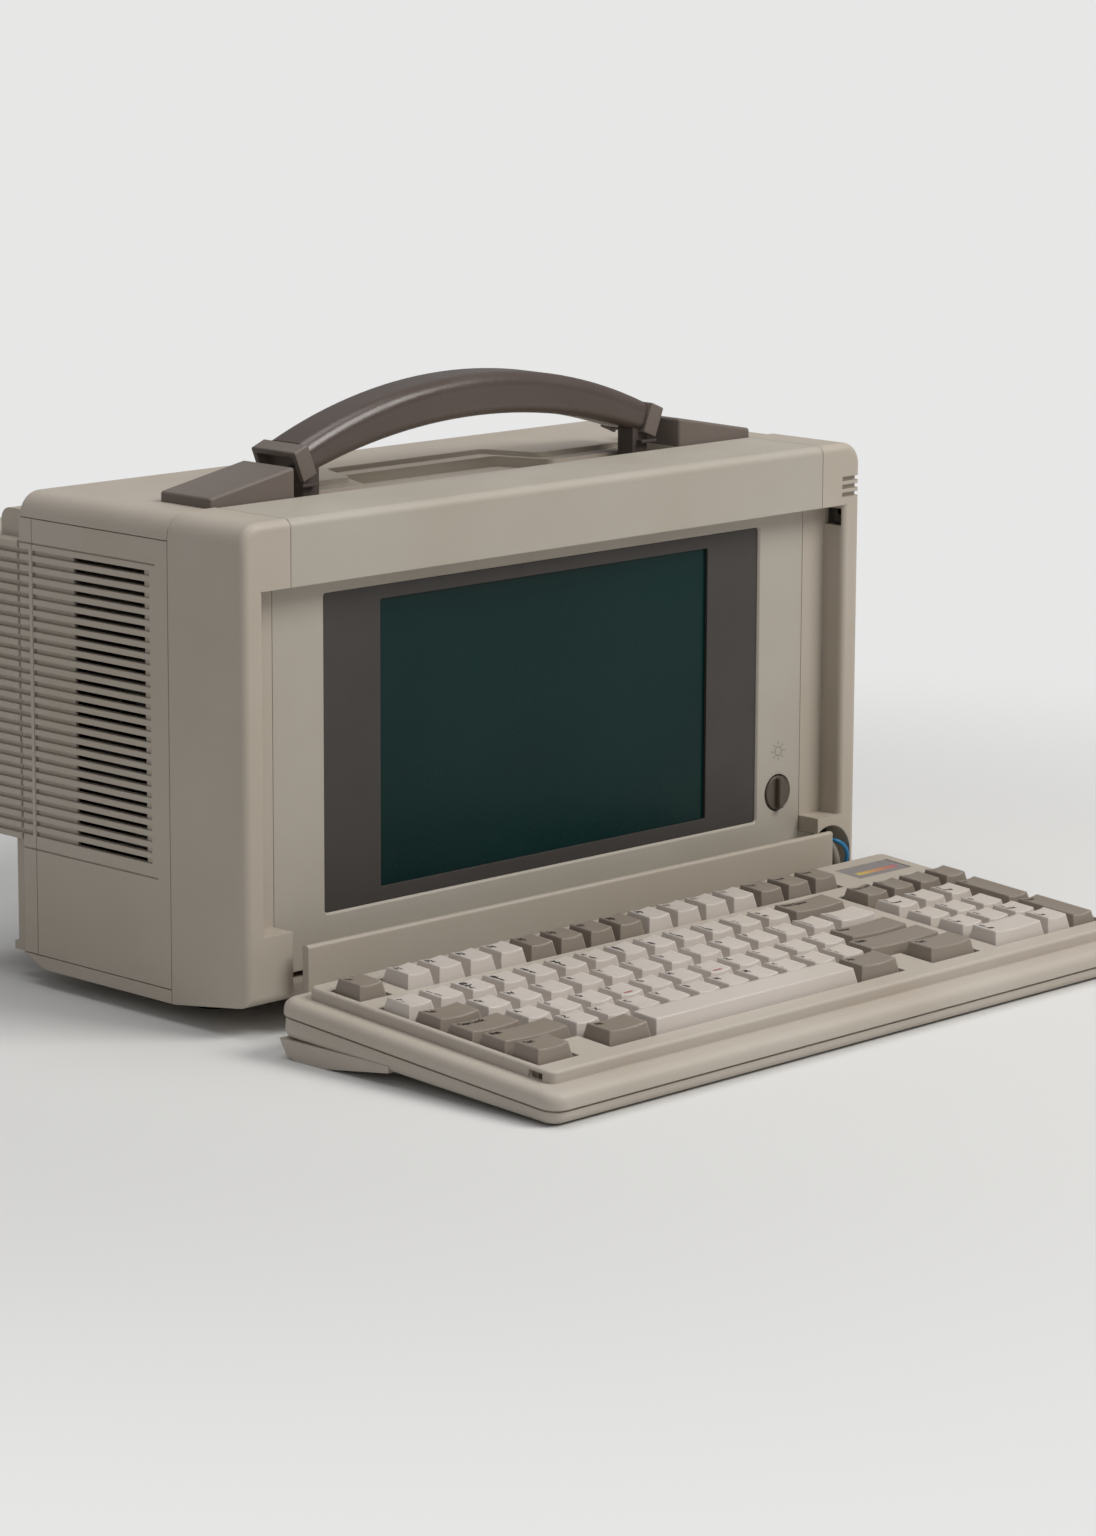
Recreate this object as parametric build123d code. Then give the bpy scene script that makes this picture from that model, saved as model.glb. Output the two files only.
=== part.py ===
"""Luggable computer of the late nineteen-eighties, with a flat plasma display and a loose keyboard.

Millimetres. While the model is drawn the floor is z = 0, the middle of the case is x = 0 and
the front of the case is y = 0, with y growing towards the back. At the end every piece is moved
so that the middle of the whole footprint stands at the origin.
"""
from build123d import *
import math
import os

os.makedirs("parts", exist_ok=True)

# ---------------------------------------------------------------- case
CASE_W = 406.0           # outer width
CASE_BOTTOM = 8.6        # underside above the floor
CASE_TOP = 231.2         # top of the front frame
COVER_TOP = 230.5        # top of the cover behind the front frame
FRAME_DEPTH = 50.0       # front frame, front to back
CASE_DEPTH = 155.0       # front of the case to its rear wall
REAR_SEAM = CASE_DEPTH - 10.4            # joint between side panels and rear shell
SIDE_ROUND = 11.0        # rounding where the sides meet the top
FRONT_ROUND = 4.0        # rounding round the front
WALL = 3.0               # moulded walls
SEAM = 0.4               # open joint between two mouldings
FIT = 0.3                # clearance of a piece that slides or drops in
UNDERSIDE_REAR = 48.0    # where the rising front underside starts
FRONT_LIP_Z = 15.2       # underside at the very front
SIDE_BOTTOM = 15.2       # lower edge of the side panels
COVER_EDGE = 219.2       # lower edge of the top cover
TAIL_START = CASE_DEPTH - 15.0           # where the underside rises again at the back

# ---------------------------------------------------------------- front recess
CHEEK_W = 12.5
CHEEK_INNER = CASE_W / 2 - CHEEK_W      # inner wall of each cheek, from the middle
RECESS_DEPTH = 12.8      # front plane back to the recess floor
LEDGE_TOP = 45.7         # top of the two corner blocks
RECESS_TOP = 200.8       # top of the recess, and lower edge of the top bar
CHEEK_ROUND = 3.0
FRAME_SIDE = 28.5        # side of the case to the display module
MODULE_HALF = CASE_W / 2 - FRAME_SIDE    # half width of the display module
TROUGH_FLOOR = 20.0
SILL_FRONT = -10.0       # front face of the wall behind the keyboard
SILL_WALL = 3.6
SILL_TOP = 40.8
SILL_ROUND = 1.4
CATCH_Y = (1.9, 12.6)    # square latch holes in the cheeks
CATCH_Z = (190.4, 198.9)
CORD_BAY_X = CASE_W / 2 - 19.0       # arched bay that the keyboard cord leaves by
CORD_BAY_Z = 26.0
CORD_BAY_R = 15.0
CORD_HOLE_R = 4.0

# ---------------------------------------------------------------- latch grip, right cheek
GRIP_SLOT_TOP = 213.7    # middle of the uppermost slot
GRIP_SLOT_PITCH = 3.9
GRIP_SLOT_H = 2.2
GRIP_SLOTS = 3
GRIP_SLOT_X = CHEEK_INNER - 1.3          # where the slots start on the front
GRIP_SLOT_REAR = 8.0     # where they end on the side
GRIP_SLOT_DEPTH = 2.2
GRIP_RECESS = 1.2        # how far the grip lies inside the side
GRIP_REAR = 36.0
BUTTON_Y = (15.0, 31.0)
BUTTON_Z = (204.0, 214.5)
BUTTON_DEPTH = 5.0

# ---------------------------------------------------------------- display module
BAR_REAR = 49.4          # rear of the top bar
BAR_ROUND = 4.0
MODULE_BOTTOM = 23.0
FIELD_SIDE = 31.3        # plain field beside the opening in the housing
OPENING_HALF = MODULE_HALF - FIELD_SIDE
OPENING_Z = (46.8, 193.2)
BEVEL = 0.9
BEZEL_SET_BACK = 1.2
BEZEL_FLANGE = 2.5       # flange behind the opening's edge
BEZEL_SIDE = 35.2        # dark field beside the glass
GLASS_HALF = OPENING_HALF - BEZEL_SIDE
GLASS_Z = (53.6, 186.7)
GLASS_SET_BACK = 1.5     # behind the bezel's face
GLASS_THICK = 2.0
GLASS_MARGIN = 4.0
PANEL_THICK = 11.0
TUB_HALF = MODULE_HALF - 14.5
TUB_Z = (30.0, 200.4)
TUB_REAR = 43.5
TUB_WALL = 2.0
TILT_Y = 42.5            # display hinge line
TILT_Z = 224.0
PIN_R = 2.0
PIN_CLEAR = 0.05
KNOB_X = MODULE_HALF - FIELD_SIDE / 2 - 0.1
KNOB_Z = 59.5
KNOB_R = 8.5
KNOB_WELL_R = 9.3
KNOB_WELL = 4.0
KNOB_SHAFT_R = 3.0
SHAFT_CLEAR = 0.05

# ---------------------------------------------------------------- display carriage
ARM_X = (MODULE_HALF - 9.0, MODULE_HALF - 5.0)
ARM_Z = (40.0, 196.0)
ARM_FRONT = 31.0
PLATE_Y = (45.0, 46.8)
SHOE_Y = (35.0, 41.0)
SHOE_Z = (65.0, 165.0)
RAISE = 45.0             # how far the display rises

# ---------------------------------------------------------------- louvres
LOUVRES = 27
LOUVRE_PITCH = 5.033
LOUVRE_TOP = 203.1       # middle of the uppermost slot
LOUVRE_H = 2.3
LOUVRE_Y = (62.6, 66.8, CASE_DEPTH - 38.5, REAR_SEAM - SEAM)   # step, open part, blind part, end
LOUVRE_STEP = 0.9
LOUVRE_BLIND = 1.5
PANEL_LINE_Z = (64.9, 207.4)
PANEL_LINE_W = 0.8
PANEL_LINE_DEPTH = 0.6

# ---------------------------------------------------------------- handle
HANDLE_Y = 71.4
GRIP_APEX = 276.0        # top of the strap in the middle
GRIP_THICK = 20.0        # in the middle; it thins towards its ends
GRIP_WIDTH = 27.0
GRIP_DROP_TOP = 23.6     # fall of its upper and lower face from the middle to the collar
GRIP_DROP_LOW = 19.0
GRIP_ROUND_TOP = 6.0
GRIP_ROUND_LOW = 4.5
COLLAR_X = CASE_W / 2 - 88.9
COLLAR_Z = 244.3
COLLAR_TILT = 22.0       # degrees, as the strap falls there
COLLAR_L = 8.6           # along the strap
COLLAR_W = 29.7
COLLAR_H = 15.2
COLLAR_FACE = 2.8        # wall that the strap's end stands against
COLLAR_WALL = 2.6
COLLAR_ROUND = 0.9
CAP_X = (CASE_W / 2 - 77.0, CASE_W / 2 - 26.0)
CAP_Y = (50.8, 85.0)
CAP_TOP = (235.2, 244.7)                # low outer end, high inner end
POST_X = (COLLAR_X - 11.1, COLLAR_X - 1.1)
POST_Y = (60.0, 70.0)
POST_TOP = 242.0
POST_FOOT_Z = (233.6, 235.0)            # small tab in front of the post

# ---------------------------------------------------------------- finger tray in the top
TRAY_DEPTH = 7.5
TRAY_HALF = CASE_W / 2 - 77.2
TRAY_NECK = (51.0, 62.0)                # deep middle part, and where the side part starts
TRAY_REAR = (112.0, 83.0)               # rear edge of the middle and of the side part
TRAY_CORNER = 5.0
TRAY_LIP = 9.0                          # step in front of the rear edge
TRAY_LIP_DEPTH = 2.4
TRAY_LIP_SIDE = 0.5

# ---------------------------------------------------------------- inside
SHEET = 1.5
FAN_X = (-CASE_W / 2 + 3.5, -CASE_W / 2 + 28.5)
SUPPLY_X = (FAN_X[1], FAN_X[1] + 62.5)
SUPPLY_Y = (58.0, CASE_DEPTH - 23.0)
SUPPLY_TOP = 160.0
SUPPLY_CORE = 40.0       # transformer and heavy parts in the bottom of it
FAN_Y = 100.0
FAN_Z = 112.0
FAN_SIZE = 80.0
FAN_BORE_R = 38.0
FAN_TIP_R = 36.5
FAN_HUB_R = 16.0
FAN_BLADES = 7
FAN_TWIST = 35.0
FAN_PIN_R = 2.5
DRIVE_X = (SUPPLY_X[1] + 8.0, SUPPLY_X[1] + 107.0)
DRIVE_Y = (62.0, 103.0)
DRIVE_TOP = 159.0
FLOPPY_X = (DRIVE_X[1] + 2.0, CASE_W / 2 - 4.4)
FLOPPY_Y = (66.0, 107.5)
FLOPPY_Z = (36.0, 183.0)
FLOPPY_CORE = 20.0       # depth and half length of the block inside
LEVER_Z = 92.0
LEVER_L = 26.0
LEVER_SHAFT_R = 2.5
BOARD_X = (SUPPLY_X[1] + 7.0, CASE_W / 2 - 13.0)
BOARD_Y = CASE_DEPTH - 7.0
BOARD_Z = (62.0, 210.0)

# ---------------------------------------------------------------- rear
BOX_DEPTH = 60.0         # expansion box behind the case
BOX_Z = (67.7, 208.2)
BUMP_TOP = 221.2
BUMP_DEPTH = 17.0
BUMP_HALF = CASE_W / 2 - 5.0
BAY_HALF = CASE_W / 2 - 6.0
BAY_DEPTH = 12.0
BAY_Z = (13.0, 66.5)
FOOT_R = 9.0
FOOT_X = CASE_W / 2 - 35.0
FOOT_Y = (62.0, CASE_DEPTH - 23.0)
SCREW_HEAD_R = 5.0
SCREW_HEAD_L = 7.0
SCREW_R = 2.0
INLET_X = 47.0 - BAY_HALF
SWITCH_X = INLET_X + 45.0
PORT_Z = 42.0
SWITCH_R = 10.2

# ---------------------------------------------------------------- keyboard, lying in front
KEYS_X = -7.73           # middle of its rear edge
KEYS_Y = -24.88
KEYS_Z = 20.27           # parting line above the floor, at the rear edge
KEYS_TURN = 0.844        # degrees, seen from above
KEYS_TILT = 4.34         # degrees, rear edge up
KEYS_W = CASE_W          # as wide as the case that it closes
KEYS_L = 170.25
KEYS_CORNER = 9.0
FLANGE_H = 7.28          # flange above the parting line
FLANGE_ROUND = 5.0
PLATEAU_H = 12.78
PLATEAU_SIDE = 9.9       # inset of the raised part at the sides
PLATEAU_FRONT = 12.0
PLATEAU_REAR = 9.65
PLATEAU_ROUND = 1.6
PLATEAU_CORNER = 4.0
TOP_WALL = 2.0
SHELL_FRONT_D = 7.0      # lower shell below the parting line, at the front
SHELL_REAR_D = 10.6
SHELL_INSET = 1.0
SHELL_ROUND = 4.0
FLOOR_WALL = 2.2
RISER_X = (KEYS_W / 2 - 53.0, KEYS_W / 2 - 1.0)
RISER_SOLE = 30.0        # where the sole ends, from the rear edge
RISER_L = 70.0
RISER_TOP = 9.0
PAD_X = KEYS_W / 2 - 38.0            # rubber pads under the front
PAD_Y = -152.0
PAD_R = 6.0
RELIEF_X = 8.0           # boss under the keyboard that the cord goes into
RELIEF_Y = (-30.0, -12.0)
RELIEF_HALF = 7.0
RELIEF_BOTTOM = 2.6
KEYPAD_GAP = 12.4
KEY_MARGIN = 2.6         # key field to the edge of the raised part
PITCH = (KEYS_W - 2 * PLATEAU_SIDE - KEYPAD_GAP - 2 * KEY_MARGIN) / 19   # key to key
KEY_GAP = 0.9
FRONT_ROW_Y = 31.65 - KEYS_L
FUNCTION_ROW_Y = -30.3
FUNCTION_GAP = 11.3      # extra gap before the function row
ROW_PITCH = (FUNCTION_ROW_Y - FUNCTION_GAP - FRONT_ROW_Y) / 5
KEY_BOTTOM = 6.3
KEY_TAPER = 2.6
KEY_TOP_BACK = 0.9       # top of the cap set towards the rear
DISH_DEPTH = 0.8
DISH_WIDEST = 3.0        # wider keys, in key widths, have no dish
STEM = 5.0
STEM_BOTTOM = 0.9
PLATE_Z = (1.2, 2.7)
KEY_BOARD_Z = (-4.2, -2.7)
LABEL_X = (KEYS_W / 2 - 55.7, KEYS_W / 2 - 17.2)
LABEL_Y = (-35.2, -18.7)
LABEL_DEPTH = 0.8
CATCH_SLOT_Y = (-153.0, -145.0)          # slots in the flange that the latch hooks reach
CATCH_SLOT_Z = (0.4, 3.6)                # above the flange
PARTING_GAP = 1.2        # groove below the parting line

# ---------------------------------------------------------------- cord
CORD_R = 2.3
COIL_R = 6.5
CORD_LEAD = [(CORD_BAY_X + x, y, z) for x, y, z in (
    (6.0, 20.0, 33.5), (6.0, 8.0, 33.5), (6.3, 2.0, 26.0), (5.5, 0.0, 15.0),
    (-3.0, -2.5, 7.8), (-18.0, -4.0, 6.7), (-30.0, -4.0, 6.7))]
COIL_END_X = 44.0
CORD_TAIL = [(COIL_END_X, -4.0, 6.7), (COIL_END_X - 14.0, -4.0, 6.7), (COIL_END_X - 32.5, -7.5, 6.4)]
CORD_MOUTH = (RELIEF_X, RELIEF_Y[1], 6.2)      # where the cord goes into the boss, seen from the keyboard
CORD_STRAIGHT = 16.0                            # straight piece in front of it


# ================================================================ helpers
def box(x0, x1, y0, y1, z0, z1):
    """Block between two corners."""
    return Pos((x0 + x1) / 2, (y0 + y1) / 2, (z0 + z1) / 2) * Box(x1 - x0, y1 - y0, z1 - z0)


def along_x(outline, x0, x1):
    """Bar between x0 and x1 whose section has the given (y, z) corners."""
    face = Face(Wire.make_polygon([(x0, y, z) for y, z in outline], close=True))
    return extrude(face, x1 - x0, dir=(1, 0, 0))


def along_y(outline, y0, y1):
    """Bar between y0 and y1 whose section has the given (x, z) corners."""
    face = Face(Wire.make_polygon([(x, y0, z) for x, z in outline], close=True))
    return extrude(face, y1 - y0, dir=(0, 1, 0))


def along_z(outline, z0, z1):
    """Bar between z0 and z1 whose section has the given (x, y) corners."""
    face = Face(Wire.make_polygon([(x, y, z0) for x, y in outline], close=True))
    return extrude(face, z1 - z0, dir=(0, 0, 1))


def rod(start, axis, radius, length):
    """Round bar from a start point along +X, +Y or +Z."""
    turn = {"x": (0, 90, 0), "y": (-90, 0, 0), "z": (0, 0, 0)}[axis]
    return Pos(*start) * Rot(*turn) * Pos(0, 0, length / 2) * Cylinder(radius, length)


def hood(half_w, y0, y1, z0, z1, corner):
    """Block with its two long upper edges rounded, as the case is."""
    block = box(-half_w, half_w, y0, y1, z0, z1)
    return fillet(block.edges().filter_by(Axis.Y).group_by(Axis.Z)[-1], corner)


def edges_at(shape, axis, **place):
    """Edges along an axis whose middle lies at the given distances from the planes x, y, z = 0."""
    picked = shape.edges().filter_by(axis)
    for name, value in place.items():
        picked = picked.filter_by(lambda e: abs(abs(getattr(e.center(), name.upper())) - abs(value)) < 0.02)
    return picked


def other_side(shape):
    """The same piece on the other side of the case."""
    return mirror(shape, Plane.YZ)


def group(*shapes):
    """Separate solids kept in one node."""
    return Compound([solid for shape in shapes for solid in shape.solids()])


HALF_W = CASE_W / 2
PASSAGE_HALF = MODULE_HALF + FIT
BOX_FRONT = CASE_DEPTH + FIT
BOX_REAR = BOX_FRONT + BOX_DEPTH
BAY_REAR = BOX_FRONT + BAY_DEPTH
SWITCH_PIVOT_Y = BAY_REAR - 2


# ================================================================ case mouldings
def underside(z_shift):
    """What is cut away below the rising front underside."""
    slope = (FRONT_LIP_Z - CASE_BOTTOM) / UNDERSIDE_REAR
    front = -WALL
    rise = FRONT_LIP_Z - front * slope
    return along_x([(front, rise + z_shift), (UNDERSIDE_REAR, CASE_BOTTOM + z_shift),
                    (UNDERSIDE_REAR, 0), (front, 0)], -HALF_W - 1, HALF_W + 1)


def cord_bay():
    """Arch open towards the floor, in the right corner block."""
    arch = rod((CORD_BAY_X, -WALL, CORD_BAY_Z), "y", CORD_BAY_R, RECESS_DEPTH + WALL)
    foot = box(CORD_BAY_X - CORD_BAY_R, CORD_BAY_X + CORD_BAY_R, -WALL, RECESS_DEPTH, 0, CORD_BAY_Z)
    return arch + foot


def front_frame():
    frame = hood(HALF_W, 0, FRAME_DEPTH, CASE_BOTTOM, CASE_TOP, SIDE_ROUND) - underside(0)
    frame = fillet(frame.faces().sort_by(Axis.Y)[0].edges(), FRONT_ROUND)
    frame -= box(-CHEEK_INNER, CHEEK_INNER, -1, RECESS_DEPTH, LEDGE_TOP, RECESS_TOP)
    frame = fillet(edges_at(frame, Axis.Z, x=CHEEK_INNER, y=0), CHEEK_ROUND)
    frame -= box(-PASSAGE_HALF, PASSAGE_HALF, -1, FRAME_DEPTH + 1, TROUGH_FLOOR, CASE_TOP + 1)
    # hollow behind the cheeks, the corner blocks and the upper corners
    hollow = hood(HALF_W - WALL, WALL, FRAME_DEPTH + 1, TROUGH_FLOOR - 1.5, CASE_TOP - WALL,
                  SIDE_ROUND - WALL)
    pocket_half = CHEEK_INNER + WALL
    hollow -= box(-pocket_half, pocket_half, 0, RECESS_DEPTH + WALL, LEDGE_TOP - WALL, RECESS_TOP + WALL)
    passage_wall = PASSAGE_HALF + WALL
    hollow -= box(-passage_wall, passage_wall, 0, FRAME_DEPTH + 2, 0, CASE_TOP)
    bay_wall = CORD_BAY_R + WALL
    hollow -= box(CORD_BAY_X - bay_wall, HALF_W, 0, RECESS_DEPTH + WALL, 0, LEDGE_TOP)
    frame -= hollow
    # wall behind the keyboard, with the cord trough behind it
    sill = along_x([(SILL_FRONT, FRONT_LIP_Z), (SILL_FRONT, SILL_TOP), (SILL_FRONT + SILL_WALL, SILL_TOP),
                    (SILL_FRONT + SILL_WALL, TROUGH_FLOOR), (FRONT_ROUND + 1, TROUGH_FLOOR),
                    (FRONT_ROUND + 1, FRONT_LIP_Z)], -PASSAGE_HALF, PASSAGE_HALF)
    sill = fillet(edges_at(sill, Axis.X, z=SILL_TOP), SILL_ROUND)
    frame += sill - underside(0)
    frame -= cord_bay()
    hole_x, _, hole_z = CORD_LEAD[0]
    frame -= rod((hole_x, RECESS_DEPTH - 1, hole_z), "y", CORD_HOLE_R, WALL + 2)
    # latch holes, guide slots for the display, latch grip
    for side in (-1, 1):
        hole = sorted((side * (CHEEK_INNER - 1), side * (CHEEK_INNER + WALL + 1)))
        frame -= box(*hole, *CATCH_Y, *CATCH_Z)
        slot = sorted((side * (PASSAGE_HALF - 1), side * (PASSAGE_HALF + WALL + 1)))
        frame -= box(*slot, SHOE_Y[0] - FIT, SHOE_Y[1] + FIT, SHOE_Z[0] - FIT, SHOE_Z[1] + RAISE + FIT)
    grip_top = GRIP_SLOT_TOP + GRIP_SLOT_PITCH / 2
    grip_low = GRIP_SLOT_TOP - (GRIP_SLOTS - 0.5) * GRIP_SLOT_PITCH
    frame -= box(HALF_W - GRIP_RECESS, HALF_W + 1, -1, GRIP_REAR, grip_low - 1, grip_top)
    for i in range(GRIP_SLOTS):
        z = GRIP_SLOT_TOP - i * GRIP_SLOT_PITCH
        slot = box(GRIP_SLOT_X, HALF_W + 1, -1, GRIP_SLOT_REAR, z - GRIP_SLOT_H / 2, z + GRIP_SLOT_H / 2)
        slot -= box(GRIP_SLOT_X - 1, HALF_W - GRIP_RECESS - GRIP_SLOT_DEPTH / 2,
                    GRIP_SLOT_DEPTH, GRIP_SLOT_REAR + 1, z - GRIP_SLOT_H, z + GRIP_SLOT_H)
        frame -= slot
    frame -= box(HALF_W - WALL - 1, HALF_W, BUTTON_Y[0] - FIT, BUTTON_Y[1] + FIT,
                 BUTTON_Z[0] - FIT, BUTTON_Z[1] + FIT)
    return frame


def latch_button():
    """Press button in the side, with a flange that keeps it in."""
    outer = HALF_W - GRIP_RECESS
    inner = outer - BUTTON_DEPTH
    button = box(inner, outer, *BUTTON_Y, *BUTTON_Z)
    button = fillet(button.faces().sort_by(Axis.X)[-1].edges(), 0.8)
    hollow = [v + d for v, d in zip(BUTTON_Y + BUTTON_Z, (1.5, -1.5, 1.5, -1.5))]
    button -= box(inner - 1, outer - 1.5, *hollow)
    seat = HALF_W - WALL - FIT
    flange = box(seat - 1.7, seat, BUTTON_Y[0] - 2, BUTTON_Y[1] + 2, BUTTON_Z[0] - 2, BUTTON_Z[1] + 2)
    return button + (flange - box(seat - 2, seat + 1, *hollow))


def latch_hook():
    """Hook behind the square hole in the right cheek, with the arm that the button drives."""
    x0 = CHEEK_INNER + WALL + FIT
    low = CATCH_Z[0] + 1
    arm = BUTTON_Z[0] - 2 - FIT
    outline = [(3.4, low), (9.5, low), (9.5, arm - 2), (BUTTON_Y[1] - 7, arm - 2),
               (BUTTON_Y[1] - 7, arm), (7.0, arm), (7.0, low + 4), (3.4, low + 4)]
    return along_x(outline, x0, x0 + 3)


def side_panel():
    """Left side panel, plain."""
    return box(-HALF_W, -HALF_W + WALL, FRAME_DEPTH + SEAM, REAR_SEAM - SEAM / 2,
               SIDE_BOTTOM, COVER_EDGE - SEAM)


def panel_lines(y0, y1, x):
    """Two fine grooves that frame the louvres."""
    cuts = []
    for z in PANEL_LINE_Z:
        cuts.append(box(x - PANEL_LINE_DEPTH, x + PANEL_LINE_DEPTH, y0, y1,
                        z - PANEL_LINE_W / 2, z + PANEL_LINE_W / 2))
    return cuts


def louvre_levels(first=0, last=LOUVRES):
    return [LOUVRE_TOP - i * LOUVRE_PITCH for i in range(first, last)]


def left_side_panel():
    panel = side_panel()
    step, start, blind, end = LOUVRE_Y
    outer = -HALF_W
    outline = [(outer - 1, step), (outer + LOUVRE_STEP, step), (outer + LOUVRE_STEP, start),
               (outer + WALL + 1, start), (outer + WALL + 1, blind), (outer + LOUVRE_BLIND, blind),
               (outer + LOUVRE_BLIND, end + 1), (outer - 1, end + 1)]
    slots = [along_z(outline, z - LOUVRE_H / 2, z + LOUVRE_H / 2) for z in louvre_levels()]
    return panel - slots - panel_lines(step - 4, end + 1, outer)


def right_side_panel():
    panel = other_side(side_panel())
    panel -= box(HALF_W - WALL - 1, HALF_W + 1, FLOPPY_Y[0], FLOPPY_Y[1], *FLOPPY_Z)
    slots = [box(HALF_W - WALL - 1, HALF_W + 1, LOUVRE_Y[2], REAR_SEAM - 5,
                 z - LOUVRE_H / 2, z + LOUVRE_H / 2) for z in louvre_levels(14)]
    return panel - slots


def rear_shell():
    x0 = HALF_W - WALL
    shell = box(-HALF_W, HALF_W, REAR_SEAM + SEAM / 2, CASE_DEPTH, SIDE_BOTTOM, COVER_EDGE - SEAM)
    shell = fillet(edges_at(shell, Axis.Z, x=HALF_W, y=CASE_DEPTH), 2.0)
    shell -= box(-x0, x0, REAR_SEAM - 1, CASE_DEPTH - WALL, 0, COVER_TOP)
    shell -= box(-70, 70, CASE_DEPTH - WALL - 1, CASE_DEPTH + 1, 100, 130)
    shell -= box(-BAY_HALF + 12, BAY_HALF - 12, CASE_DEPTH - WALL - 1, CASE_DEPTH + 1,
                 BAY_Z[0] + 10, BAY_Z[1] - 8)
    slots = [box(-HALF_W - 1, -HALF_W + LOUVRE_BLIND, REAR_SEAM + 2.4, CASE_DEPTH + 1,
                 z - LOUVRE_H / 2, z + LOUVRE_H / 2) for z in louvre_levels()]
    return shell - slots - panel_lines(REAR_SEAM - 1, CASE_DEPTH + 1, -HALF_W)


def tray_outline(grow, rear_shift):
    """Outline of the finger tray: wide near the front, with a deeper bay in the middle."""
    half = TRAY_HALF + grow
    neck, shoulder = TRAY_NECK
    deep, shallow = (rear + grow - rear_shift for rear in TRAY_REAR)
    front = FRAME_DEPTH + SEAM - 1
    corners = [(-half, front), (-half, shallow), (-shoulder - grow, shallow), (-neck - grow, deep),
               (neck + grow, deep), (shoulder + grow, shallow), (half, shallow), (half, front)]
    face = Face(Wire.make_polygon([(x, y, 0) for x, y in corners], close=True))
    rounded = face.vertices().filter_by(lambda v: v.Y > front + 1)
    return fillet(rounded, TRAY_CORNER)


def tray(grow, depth, rear_shift, top):
    sketch = tray_outline(grow, rear_shift)
    return Pos(0, 0, COVER_TOP - depth) * extrude(sketch, top - COVER_TOP + depth, dir=(0, 0, 1))


def top_cover():
    front = FRAME_DEPTH + SEAM
    cover = hood(HALF_W, front, CASE_DEPTH, COVER_EDGE, COVER_TOP, SIDE_ROUND)
    cover = fillet(cover.faces().sort_by(Axis.Y)[-1].edges() - cover.faces().sort_by(Axis.Z)[0].edges(), 4.0)
    inner = hood(HALF_W - WALL, front + WALL, CASE_DEPTH - WALL, COVER_EDGE - 1, COVER_TOP - WALL,
                 SIDE_ROUND - WALL)
    inner -= tray(WALL, TRAY_DEPTH + WALL, 0, COVER_TOP)
    cover -= inner
    cover -= tray(0, TRAY_LIP_DEPTH, 0, COVER_TOP + 1)
    cover -= tray(-TRAY_LIP_SIDE, TRAY_DEPTH, TRAY_LIP, COVER_TOP + 1)
    return cover


def base_pan():
    front = FRAME_DEPTH + SEAM
    top = SIDE_BOTTOM - SEAM
    pan = along_x([(front, CASE_BOTTOM), (TAIL_START, CASE_BOTTOM), (CASE_DEPTH, top), (front, top)],
                  -HALF_W, HALF_W)
    return pan - box(-HALF_W + WALL, HALF_W - WALL, front + WALL, TAIL_START - WALL,
                     CASE_BOTTOM + WALL, SIDE_BOTTOM)


def rubber_feet():
    feet = [rod((x, y, 0), "z", FOOT_R, CASE_BOTTOM) for x in (-FOOT_X, FOOT_X) for y in FOOT_Y]
    return group(*[fillet(foot.edges().group_by(Axis.Z)[0], 1.0) for foot in feet])


# ================================================================ handle
def at_collar(shape):
    """Place a piece drawn about the right collar: x along the strap outwards, z square to it."""
    return Pos(COLLAR_X, HANDLE_Y, COLLAR_Z) * Rot(0, COLLAR_TILT, 0) * shape


def handle_grip():
    """Stiff arched strap that thins towards its ends, each end cut square against its collar."""
    low = GRIP_APEX - GRIP_THICK
    right_top = (COLLAR_X, 0, GRIP_APEX - GRIP_DROP_TOP)
    right_low = (COLLAR_X, 0, low - GRIP_DROP_LOW)
    left_top, left_low = [(-x, y, z) for x, y, z in (right_top, right_low)]
    outline = Wire([ThreePointArc(left_top, (0, 0, GRIP_APEX), right_top), Line(right_top, right_low),
                    ThreePointArc(right_low, (0, 0, low), left_low), Line(left_low, left_top)])
    strap = Pos(0, HANDLE_Y - GRIP_WIDTH / 2, 0) * extrude(Face(outline), GRIP_WIDTH, dir=(0, 1, 0))
    arcs = strap.edges().filter_by(GeomType.CIRCLE).sort_by(Axis.Z)
    strap = fillet(arcs[2:], GRIP_ROUND_TOP)
    arcs = strap.edges().filter_by(GeomType.CIRCLE).filter_by(lambda e: e.length > COLLAR_X).sort_by(Axis.Z)
    strap = fillet(arcs[:2], GRIP_ROUND_LOW)
    beyond = at_collar(box(-COLLAR_L / 2, 40, -GRIP_WIDTH, GRIP_WIDTH, -40, 40))
    return strap - beyond - other_side(beyond)


TRAY_FLOOR = COVER_TOP - TRAY_DEPTH


def handle_collar():
    """Tilted bracket that the strap's end stands against, open outwards and below."""
    half_l, half_w, half_h = COLLAR_L / 2, COLLAR_W / 2, COLLAR_H / 2
    band = box(-half_l, half_l, -half_w, half_w, -half_h, half_h)
    band = fillet(band.edges().filter_by(Axis.X) + band.edges().filter_by(Axis.Y).group_by(Axis.Z)[-1],
                  COLLAR_ROUND)
    band -= box(-half_l + COLLAR_FACE, half_l + 1, -half_w + COLLAR_WALL, half_w - COLLAR_WALL,
                -half_h - 1, half_h - COLLAR_WALL)
    return at_collar(band)


def handle_cap():
    """Wedge that covers the handle's anchor on top of the case."""
    cap = along_y([(CAP_X[0], COVER_TOP), (CAP_X[0], CAP_TOP[1]), (CAP_X[1], CAP_TOP[0]),
                   (CAP_X[1], COVER_TOP)], *CAP_Y)
    soft = [e for e in cap.edges() if e.center().Z > COVER_TOP + 1]
    return fillet(soft, 1.5)


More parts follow.
